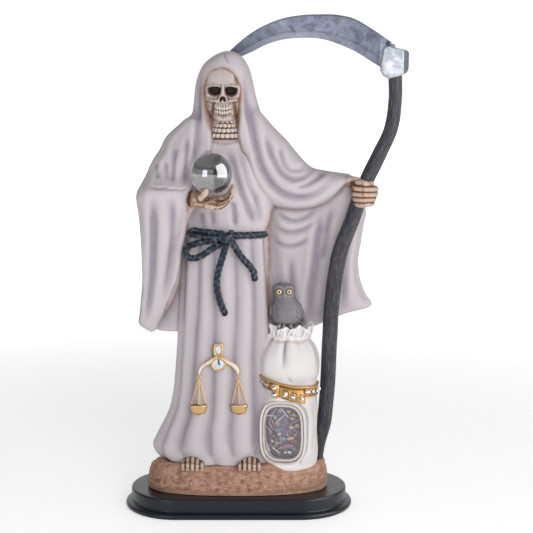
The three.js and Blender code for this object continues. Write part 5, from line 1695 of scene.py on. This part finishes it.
# The stones' colour is patched dark and bright as painted reflections in their facets.
spark = stone_paint.node("ShaderNodeTexVoronoi", {"Vector": stone_paint.place(), "Scale": 1400.0})
tone = stone_paint.rise(spark.outputs["Color"], 0.2, 0.7)
stone_paint.set(Base_Color=stone_paint.mix(tone, (0.10, 0.12, 0.17), (0.88, 0.92, 1.0)))
facing = BAND_STONES + [BUCKLE_ANGLE] * 2 + [strap_angle(share) for share in STRAP_STONES]
for i, angle in enumerate(facing):
    node = f"rhinestone_{i + 1:02d}"
    lowest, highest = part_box(node)
    bm = bmesh.new()
    bmesh.ops.create_cone(bm, cap_ends=True, segments=12, radius1=0.00146, radius2=0.00085, depth=0.00095)
    crown = [e for e in bm.edges if all(v.co.z > 0 for v in e.verts)]
    bmesh.ops.bevel(bm, geom=crown, offset=0.00026, segments=1, profile=0.5, affect="EDGES", material=-1)
    bmesh.ops.rotate(bm, verts=bm.verts, matrix=Matrix.Rotation(math.pi / 2, 3, "Y"))
    bmesh.ops.rotate(bm, verts=bm.verts, matrix=Matrix.Rotation(angle, 3, "Z"))
    bmesh.ops.translate(bm, verts=bm.verts, vec=(lowest + highest) / 2)
    mesh = bpy.data.meshes.new(node)
    bm.to_mesh(mesh)
    bm.free()
    piece(f"stone_{i + 1:02d}", mesh, stone_paint, node)
    mesh.polygons.foreach_set("use_smooth", [False] * len(mesh.polygons))


# Owl: perched on the frill, one small grey casting with low ear tufts, folded wings, toes and a
# short tail. A grid round its body fused with tubes; its eyes are glossy cushions of their own.
OWL_EYES = (92.5, 115)
EYE_LEVEL = 460
OWL_ROWS = [
    [382, 20, -66, -26, 109],
    [388, 28, -76, -20, 110],
    [396, 32.5, -81, -16, 110.5],
    [410, 35, -83, -14, 111],
    [424, 33, -81, -15, 110],
    [438, 26.5, -76, -18, 107],
    [448, 24, -75, -21, 105],
    [460, 24.3, -76, -23, 104],
    [469, 23.5, -74, -26, 103.5],
    [474, 19, -69, -32, 103.5],
    [477.5, 10, -61, -40, 103.5],
    [478.6, 3, -55, -47, 103.5],
]


def owl_place(u, v):
    """Round the owl: dished eyes with raised rims, a beak, and grooves beside the wings."""
    height = within(OWL_ROWS, v)
    half, near, far, middle = along(OWL_ROWS, height).T
    c, s = np.cos(TAU * u), np.sin(TAU * u)
    x = half * boxy(c, 0.9)
    y = (near + far) / 2 + (far - near) / 2 * s
    front = np.clip(-s, 0, 1)
    for eye in (-11, 11.5):
        dish = bell(x - eye, 10) * bell(height - EYE_LEVEL, 9)
        rim = bell(np.hypot(x - eye, height - EYE_LEVEL) - 11, 2.2)
        y = y + front * (2.6 * dish - 1.6 * rim)
    beak = bell(x, 2.4) * bell(height - 450, 4.5)
    wing = bell(np.abs(x) - 24, 3) * np.clip((436 - height) / 10, 0, 1)
    return at(middle + x, y - front * 4.5 * beak + front * 2.0 * wing, height)


owl_parts = [
    skin(150, 150, owl_place),
    tube([(86, -52, 464), (83, -53, 470), (82, -52, 475)], [[0, 6], [0.6, 4.4], [1, 2.4]], 20, 16),
    tube([(121, -52, 464), (124, -53, 470), (125, -52, 475)], [[0, 6], [0.6, 4.4], [1, 2.4]], 20, 16),
    tube([(85, -52, 470), (94, -58, 475), (103.5, -60, 478), (113, -58, 475), (122, -52, 470)],
         [[0, 3], [0.5, 3.4], [1, 3]], 18, 40),
    tube([(128, -44, 428), (138, -44, 412), (146, -42, 398), (151, -38, 388)],
         [[0, 7], [0.4, 10], [1, 5]], 22, 30, None, 0.7),
    tube([(82, -44, 430), (78, -46, 412), (78, -44, 396)], [[0, 5], [0.5, 8], [1, 4]], 22, 26, None, 0.8),
    tube([(136, -36, 392), (152, -30, 380), (166, -26, 370)], [[0, 8], [0.6, 6], [1, 3]], 20, 24, None, 0.6),
    tube([(94, -72, 386), (92, -80, 383), (90, -84, 380)], 4.2, 16, 12),
    tube([(103, -74, 385), (103, -82, 382), (103, -86, 379)], 4.0, 16, 12),
    tube([(118, -72, 386), (119, -80, 383), (120, -84, 380)], 4.2, 16, 12),
]
owl = remeshed(owl_parts, 0.00032, 2)
co, _, _ = spots_of(owl)
OWL_MARKS = [
    ([(128, 424), (134, 414), (140, 404)], 1.6, 1.2, 0.4, 0.4),
    ([(134, 428), (139, 418), (145, 408)], 1.5, 1.2, 0.4, 0.4),
    ([(130, 408), (136, 398), (143, 390)], 1.5, 1.1, 0.4, 0.4),
    ([(139, 402), (146, 394), (150, 388)], 1.5, 1.1, 0.4, 0.4),
    ([(86, 430), (83, 412), (84, 396)], 1.6, 0.9, 0.3, 0.3),
    ([(103.5, 473), (103.8, 465), (103.5, 457)], 1.5, 0.8, 0.3, 0.3),
]
marks, _ = creased(owl, OWL_MARKS)
fine, broad = hollows(owl, 4), hollows(owl, 20)
# hollow: darker in the feather grooves and hollows, as painted shade; ridge: paler on the crests, as painted
# highlight.
note(owl, "hollow", np.clip(fine / 0.00006, 0, 1) * 0.6 + 0.5 * np.clip(marks / 0.25, 0, 1))
note(owl, "ridge", np.clip(-fine / 0.00005, 0, 1) * 0.2 + np.clip(-broad / 0.0003, 0, 0.3))
x, _, height = thousandths(co)
rings = sum(bell(np.hypot(x - eye, height - EYE_LEVEL) - 6.4, 1.1) for eye in OWL_EYES)
note(owl, "rings", 0.75 * rings * (co[:, 1] < -0.012))
note(owl, "foot", np.clip((402 - height) / 22, 0, 1))
feather = Paint("owl paint", Roughness=0.7, Specular_IOR_Level=0.35)
colour = feather.mix(feather.noise(260, 4), (0.128, 0.116, 0.127), (0.185, 0.168, 0.183))
colour = feather.mix(feather.times(feather.held("foot"), 0.6), colour, (0.20, 0.165, 0.14))
colour = feather.mix(feather.held("hollow"), colour, (0.07, 0.068, 0.078))
colour = feather.mix(feather.held("ridge"), colour, (0.33, 0.325, 0.345))
feather.set(Base_Color=feather.mix(feather.held("rings"), colour, (0.05, 0.045, 0.02)))
feather.bump(feather.noise(800, 4), 0.25, 0.0003)
feather.bump(feather.noise(260, 3, stretch=(1, 1, 0.35)), 0.15, 0.0004)
piece("owl_body", owl, feather, "owl")

eye_mesh = gathered([disc((eye, -73.6, EYE_LEVEL), 6.3, 6.6, 4.6) for eye in OWL_EYES])
co, _, _ = spots_of(eye_mesh)
x, _, height = thousandths(co)
out = np.min([np.hypot(x - eye, height - EYE_LEVEL) for eye in OWL_EYES], axis=0)
note(eye_mesh, "out", out / 7)
eye_paint = Paint("owl eye paint", Roughness=0.15, Coat_Weight=0.8, Coat_Roughness=0.05)
iris = eye_paint.mix(eye_paint.noise(900, 3), (0.50, 0.36, 0.16), (0.66, 0.56, 0.22))
colour = eye_paint.mix(eye_paint.rise(eye_paint.held("out"), 0.30, 0.38), (0.004, 0.004, 0.004), iris)
colour = eye_paint.mix(eye_paint.rise(eye_paint.held("out"), 0.76, 0.88), colour, (0.03, 0.028, 0.015))
eye_paint.set(Base_Color=colour)
piece("owl_eyes", eye_mesh, eye_paint, "owl")


# Ball: clear glass, faintly smoky, lying in the open hand. A sphere in the CAD ball's place.
BALL_RADIUS = 0.0125
lowest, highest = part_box("crystal_ball")
bm = bmesh.new()
bmesh.ops.create_uvsphere(bm, u_segments=96, v_segments=64, radius=BALL_RADIUS)
bmesh.ops.translate(bm, verts=bm.verts, vec=(lowest + highest) / 2)
ball = bpy.data.meshes.new("ball")
bm.to_mesh(ball)
bm.free()
glass = Paint("glass paint", Roughness=0.0, IOR=1.5, Transmission_Weight=1.0, Coat_Weight=1.0,
              Coat_Roughness=0.06, Coat_IOR=2.0)
glass.set(Base_Color=glass.mix(glass.noise(60, 2), (0.19, 0.195, 0.205), (0.25, 0.25, 0.25)))
piece("glass_ball", ball, glass, "crystal_ball")


# Pole: the scythe's crooked handle, resin carved as a peeled branch and painted charcoal with a
# dry-brushed grain along it. A tube through the fist, its foot in the mound.
POLE_LINE = [
    (180, -10, 46), (184, -14, 92), (196, -22, 154), (203, -32, 240), (207, -40, 349),
    (213, -46, 445), (229, -50, 545), (257, -53, 622), (284, -50, 700), (317, -40, 768),
    (343, -28, 825), (352, -18, 890), (352, -14, 936), (352, -14, 965),
]
POLE_RADIUS = [[0, 11.8], [0.06, 14.6], [0.12, 17.2], [0.6, 17.4], [0.94, 15.5], [1, 15.5]]


def branch(angle, t):
    """A slightly knotty, fluted section that changes along the pole."""
    turn = angle + 1.5 * t
    size = 0.965 + 0.022 * np.sin(3 * turn + 9 * t) + 0.013 * np.sin(7 * turn - 21 * t)
    size = size + 0.012 * np.sin(13 * turn + 35 * t) + 0.010 * np.sin(60 * t + 2 * np.sin(angle))
    for knot, bearing in ((0.19, 2.2), (0.415, -1.4), (0.52, 0.4), (0.735, -2.2), (0.86, 1.0)):
        size = size + 0.05 * bell(t - knot, 0.018) * np.clip(np.cos(angle - bearing), 0, 1) ** 2
    return size


pole = gathered([tube(POLE_LINE, POLE_RADIUS, 50, 380, branch)])
line, _ = smooth_path(POLE_LINE, 300)
co, _, _ = spots_of(pole)
places = np.column_stack(thousandths(co))
nearest = np.array([np.argmin(((line - spot) ** 2).sum(axis=1)) for spot in places])
run = nearest / 299
offset = places - line[nearest]
# hollow: painted shade, darker in the fine hollows.
note(pole, "hollow", np.clip(hollows(pole, 3) / 0.00003, 0, 1))
grain = pole.attributes.new("grain", "FLOAT_VECTOR", "POINT")
around = np.arctan2(offset[:, 1], offset[:, 0])
winding = np.column_stack([np.cos(around), np.sin(around), run * 9])
grain.data.foreach_set("vector", winding.astype(np.float32).ravel())
bark = Paint("pole paint", Roughness=0.5, Specular_IOR_Level=0.25)
grain_way = bark.node("ShaderNodeAttribute", attribute_name="grain").outputs["Vector"]


def streaks(detail, across, lengthways):
    """Noise drawn out along the pole."""
    stretch = bark.node("ShaderNodeMapping", {"Vector": grain_way, "Scale": (across, across, lengthways)})
    inputs = {"Vector": stretch.outputs[0], "Scale": 1.0, "Detail": detail, "Roughness": 0.6}
    return bark.node("ShaderNodeTexNoise", inputs).outputs["Fac"]


tone = streaks(3, 1.6, 2.2)
colour = bark.mix(bark.rise(tone, 0.38, 0.62), (0.021, 0.028, 0.042), (0.046, 0.040, 0.044))
colour = bark.mix(bark.rise(streaks(4, 9, 3.0), 0.46, 0.66, (0.0, 0.7)), colour, (0.10, 0.084, 0.094))
colour = bark.mix(bark.rise(streaks(4, 22, 5.0), 0.55, 0.68, (0.0, 0.8)), colour, (0.24, 0.21, 0.222))
colour = bark.mix(bark.rise(streaks(3, 14, 3.5), 0.34, 0.46, (0.9, 0.0)), colour, (0.008, 0.009, 0.013))
bark.set(Base_Color=bark.mix(bark.held("hollow"), colour, (0.012, 0.012, 0.015)))
bark.bump(streaks(5, 20, 4.0), 0.8, 0.0007)
piece("scythe_pole", pole, bark, "scythe_snath")


# Blade: a crescent thinning to a ground inner edge, its heel riveted into a squared socket over
# the pole's top. Mottled blue-grey metal paint, darker towards the tip and the heel, the socket paler,
# with a painted pool of light on its front, painted shade on its chamfered side, the rivet painted
# dark as the shade of its recess and a painted glint beside it. Both are swept grids.
BLADE_ROWS = [
    [-66, 938, 946, 78],
    [-52, 950, 965, 75],
    [-30, 964, 984, 69],
    [0, 980, 1011, 58],
    [30, 994, 1034, 46],
    [60, 1009, 1051, 34],
    [100, 1020, 1066, 18],
    [140, 1023, 1073, 8],
    [180, 1021, 1075, 0],
    [220, 1009, 1074, -6],
    [260, 991, 1065, -10],
    [300, 966, 1042, -13],
    [336, 949, 1018, -14],
    [350, 962, 1008, -14],
]


def blade_place(u, v):
    """Round the blade's section, from the tip to the heel."""
    x = within(BLADE_ROWS, v)
    inner, outer, deep = along(BLADE_ROWS, x).T
    loop = [0, 0.13, 0.16, 0.30, 0.46, 0.5, 0.54, 0.70, 0.84, 0.87, 1]
    share = np.interp(u, loop, [0, 0.26, 0.30, 0.62, 0.985, 1, 0.985, 0.62, 0.30, 0.26, 0])
    thick = np.interp(u, loop, [0, -0.40, -0.52, -0.82, -1.0, 0, 1.0, 0.82, 0.52, 0.40, 0])
    tip = np.clip(0.3 + v / 0.25, 0, 1)
    return at(x + (1 - share) * 6, deep + thick * 10.4 * tip, inner + share * (outer - inner))


SOCKET = [
    (318, 966), (319, 950), (325, 939), (336, 932.5), (352, 936), (368, 941), (377, 947), (380.5, 956),
    (381, 990), (377, 995), (352, 1002), (334, 1006.5), (324, 1003),
]
corners = np.array(SOCKET + SOCKET[:1], float)
reach = np.concatenate([[0], np.cumsum(np.hypot(*np.diff(corners, axis=0).T))])


def socket_place(u, v):
    """The socket's outline through its depth, chamfered in front on the right."""
    x = np.interp(u * reach[-1], reach, corners[:, 0])
    z = np.interp(u * reach[-1], reach, corners[:, 1])
    middle = (350, 968)
    steps = [0, 0.22, 0.26, 0.32, 0.74, 0.78, 1]
    inset = np.interp(v, steps, [1, 0.09, 0.05, 0, 0, 0.07, 1])
    deep = np.interp(v, steps, [-24, -24, -22.5, -14, 17, 21, 21])
    chamfer = np.interp(v, [0, 0.22, 0.32, 1], [1, 1, 0, 0])
    x = np.where((v < 0.31) & (v > 0.01), np.minimum(x, 381 - 13 * chamfer), x)
    return at(x + (middle[0] - x) * inset, -14 + deep + 1.5, z + (middle[1] - z) * inset)


blade = gathered([
    skin(88, 260, blade_place),
    skin(150, 60, socket_place),
    wire([(336, -22, 1010), (336, -28, 1010), (336, -31, 1010)], 5.2, 18),
    wire([(342.5, -24, 1011), (342.5, -28, 1011), (342.5, -30, 1011)], 2.6, 12),
])
fine, broad = hollows(blade, 4), hollows(blade, 24)
co, _, _ = spots_of(blade)
x, _, z = thousandths(co)
inner, outer, deep = along(BLADE_ROWS, np.clip(x, -66, 350)).T
share = (z - inner) / np.maximum(outer - inner, 1)
note(blade, "bevel", (x < 318) * np.clip((0.31 - share) / 0.05, 0, 1) * np.interp(x, [60, 240], [1, 0.2]))
back_edge = np.clip((share - 0.93) / 0.05, 0, 1) * 0.8
bevel_line = np.interp(x, [60, 220], [0.5, 0.1]) * bell(share - 0.31, 0.03)
note(blade, "rim", (x < 322) * (back_edge + bevel_line))
# The rivet painted dark as the shade of its recess, and a pale bead beside it as a painted glint.
rivet = np.hypot(x - 336, z - 1010) < 5.6
glint = np.hypot(x - 342.5, z - 1011) < 3
chamfered = x > 368.5
# dim: darker towards the tip and the heel, painted shade on the socket's chamfered side, and the rivet.
darker_to_ends = np.interp(x, [-50, 10, 120, 220, 330], [0.75, 0.4, 0, 0.1, 0.35]) * (x < 318)
note(blade, "dim", np.maximum(darker_to_ends, 0.9 * chamfered) + 0.9 * (rivet & ~glint))
# socket: paler paint on the socket's front, lightest in a painted pool of light in its middle, and the
# painted glint.
front_face = np.where(chamfered, 0.0, 0.35 + 0.65 * bell(x - 348, 21) * bell(z - 962, 27))
note(blade, "socket", (x > 316) * np.clip((1010 - z) / 6, 0, 1) * front_face + glint)
# hollow: painted shade in the hollows.
note(blade, "hollow", np.clip(fine / 0.00008, 0, 1) * 0.7 + np.clip(broad / 0.0005, 0, 0.5))
steel = Paint("blade paint", Roughness=0.45, Metallic=0.08, Specular_IOR_Level=0.3)
cloud = steel.rise(steel.noise(150, 6, 0.65, twist=0.6), 0.32, 0.68)
colour = steel.mix(cloud, (0.10, 0.11, 0.155), (0.235, 0.25, 0.33))
scratch = steel.rise(steel.noise(260, 5, 0.7, (1, 1, 3.5)), 0.55, 0.75, (0.0, 0.7))
colour = steel.mix(scratch, colour, (0.42, 0.45, 0.55))
colour = steel.mix(steel.times(steel.held("bevel"), 0.6), colour, (0.40, 0.42, 0.50))
pale = steel.mix(steel.rise(steel.noise(230, 6, 0.7), 0.35, 0.62), (0.40, 0.42, 0.52), (0.80, 0.82, 0.82))
colour = steel.mix(steel.held("socket"), colour, pale)
colour = steel.mix(steel.held("dim"), colour, (0.04, 0.046, 0.072))
colour = steel.mix(steel.held("rim"), colour, (0.035, 0.035, 0.05))
steel.set(Base_Color=steel.mix(steel.held("hollow"), colour, (0.03, 0.03, 0.045)))
steel.bump(steel.noise(420, 6, 0.7), 0.45, 0.0004)
piece("scythe_blade_steel", blade, steel, "scythe_blade")


# Plinth: the wooden base, straight-sided with rounded ends, a groove and a rolled foot moulding,
# in satin black lacquer.
STRAIGHT_HALF = 0.037
END_DEPTH = 0.0331
HALF_WIDTH = 0.041
PROFILE_END = 0.72
PLINTH_PROFILE = [  # share of the way, height and how far out, both in metres
    [0, 0.0, -0.0017],
    [0.05, 0.00012, -0.0006],
    [0.1, 0.0009, 0.0],
    [0.18, 0.0021, 0.0001],
    [0.24, 0.0029, -0.0004],
    [0.3, 0.0034, -0.0016],
    [0.34, 0.0037, -0.0028],
    [0.37, 0.0043, -0.0034],
    [0.42, 0.0050, -0.0034],
    [0.55, 0.0105, -0.0034],
    [0.60, 0.0113, -0.00355],
    [0.64, 0.01175, -0.0039],
    [0.68, 0.0119, -0.0044],
    [PROFILE_END, 0.012, -0.0052],
]


def plinth_place(u, v):
    """Up the moulded edge and in over the top."""
    height, out = along(PLINTH_PROFILE, np.clip(v, 0, PROFILE_END)).T
    inward = np.clip((v - PROFILE_END) / (1 - PROFILE_END), 0, 1)
    half = np.mod(u, 0.5) * 2
    end = np.where(u % 1.0 < 0.5, 1, -1)
    angle = (np.clip((half - 0.06) / 0.88, 0, 1) - 0.5) * np.pi
    on_side = (half < 0.06) | (half > 0.94)
    straight = STRAIGHT_HALF * np.where(on_side, np.minimum(half, 1 - half) / 0.06, 1)
    x = end * (straight + (END_DEPTH + out) * np.cos(angle) * ~on_side)
    y = end * (HALF_WIDTH + out) * np.sin(angle)
    return np.stack([x * (1 - inward), y * (1 - inward), height], axis=-1)


board = gathered([skin(240, 72, plinth_place)])
lacquer = Paint("lacquer paint", Roughness=0.34, Specular_IOR_Level=0.3)
colour = lacquer.mix(lacquer.noise(40, 3, stretch=(1, 6, 6)), (0.006, 0.009, 0.014), (0.010, 0.014, 0.021))
lacquer.set(Base_Color=colour)
lacquer.bump(lacquer.noise(500, 3, stretch=(0.3, 1, 1)), 0.05, 0.0002)
piece("plinth_board", board, lacquer, "plinth")


# Floor and light: a pale plain floor whose own glow grows with distance, so that it meets the
# nearly white surround softly, soft lights in front and panels that only reflections show.
NEAR_BALL = (-0.015, -0.03, 0.21)


def softbox(name, spot, aim, size, power, colour=(1, 1, 1)):
    """A rectangular light that the camera doesn't see."""
    data = bpy.data.lights.new(name, "AREA")
    data.shape = "RECTANGLE"
    data.size, data.size_y = size
    data.energy = power
    data.color = colour
    lamp = bpy.data.objects.new(name, data)
    lamp.location = spot
    lamp.visible_camera = False
    lamp.rotation_mode = "QUATERNION"
    lamp.rotation_quaternion = (Vector(aim) - Vector(spot)).to_track_quat("-Z", "Y")
    bpy.context.scene.collection.objects.link(lamp)
    return lamp


for lamp in (
        softbox("front softbox", (0.35, -1.5, 0.55), (0, 0, 0.16), (0.9, 0.9), 14.5),
        softbox("right softbox", (0.75, -0.75, 0.55), (0, 0, 0.16), (0.5, 0.8), 0.6)):
    lamp.visible_glossy = False
for panel in (
        softbox("right reflection", (0.66, -0.32, 0.24), NEAR_BALL, (0.9, 1.5), 22),
        softbox("left reflection", (-0.60, -0.95, 0.30), NEAR_BALL, (0.50, 0.68), 6, (0.78, 0.85, 1.0))):
    panel.visible_diffuse = False
world = bpy.data.worlds.new("surround")
world.use_nodes = True
tree = world.node_tree
sky = tree.nodes["Background"]
way = tree.nodes.new("ShaderNodeSeparateXYZ")
tree.links.new(tree.nodes.new("ShaderNodeTexCoord").outputs["Generated"], way.inputs[0])
levels = []
for axis, start, end, amount in (("Y", 0.6, 0.96, 0.94), ("Z", 0.2, 0.9, 0.3)):
    level = tree.nodes.new("ShaderNodeMapRange")
    level.interpolation_type = "SMOOTHSTEP"
    for key, value in (("From Min", start), ("From Max", end), ("To Min", 0.0), ("To Max", amount)):
        level.inputs[key].default_value = value
    tree.links.new(way.outputs[axis], level.inputs["Value"])
    levels.append(level.outputs[0])
total = tree.nodes.new("ShaderNodeMath")
tree.links.new(levels[0], total.inputs[0])
tree.links.new(levels[1], total.inputs[1])
offset_up = tree.nodes.new("ShaderNodeMath")
offset_up.inputs[1].default_value = 0.10
tree.links.new(total.outputs[0], offset_up.inputs[0])
tree.links.new(offset_up.outputs[0], sky.inputs["Strength"])
sky.inputs["Color"].default_value = (1, 1, 1, 1)
bpy.context.scene.world = world
bpy.context.scene.view_settings.view_transform = "Standard"

bm = bmesh.new()
bmesh.ops.create_circle(bm, cap_ends=True, segments=96, radius=6)
ground = bpy.data.meshes.new("floor")
bm.to_mesh(ground)
bm.free()
floor = bpy.data.objects.new("floor", ground)
floor_paint = Paint("floor paint", Roughness=0.9, Emission_Color=(1, 1, 1, 1))
distance = floor_paint.node("ShaderNodeVectorMath", {0: floor_paint.place()}, operation="LENGTH")
glow = floor_paint.rise(distance.outputs["Value"], 0.2, 1.3, (0.42, 0.98))
floor_paint.set(Emission_Strength=glow)
floor_paint.set(Base_Color=floor_paint.mix(floor_paint.noise(3, 2), (0.93, 0.93, 0.935), (0.96, 0.96, 0.96)))
ground.materials.append(floor_paint.material)
bpy.context.scene.collection.objects.link(floor)
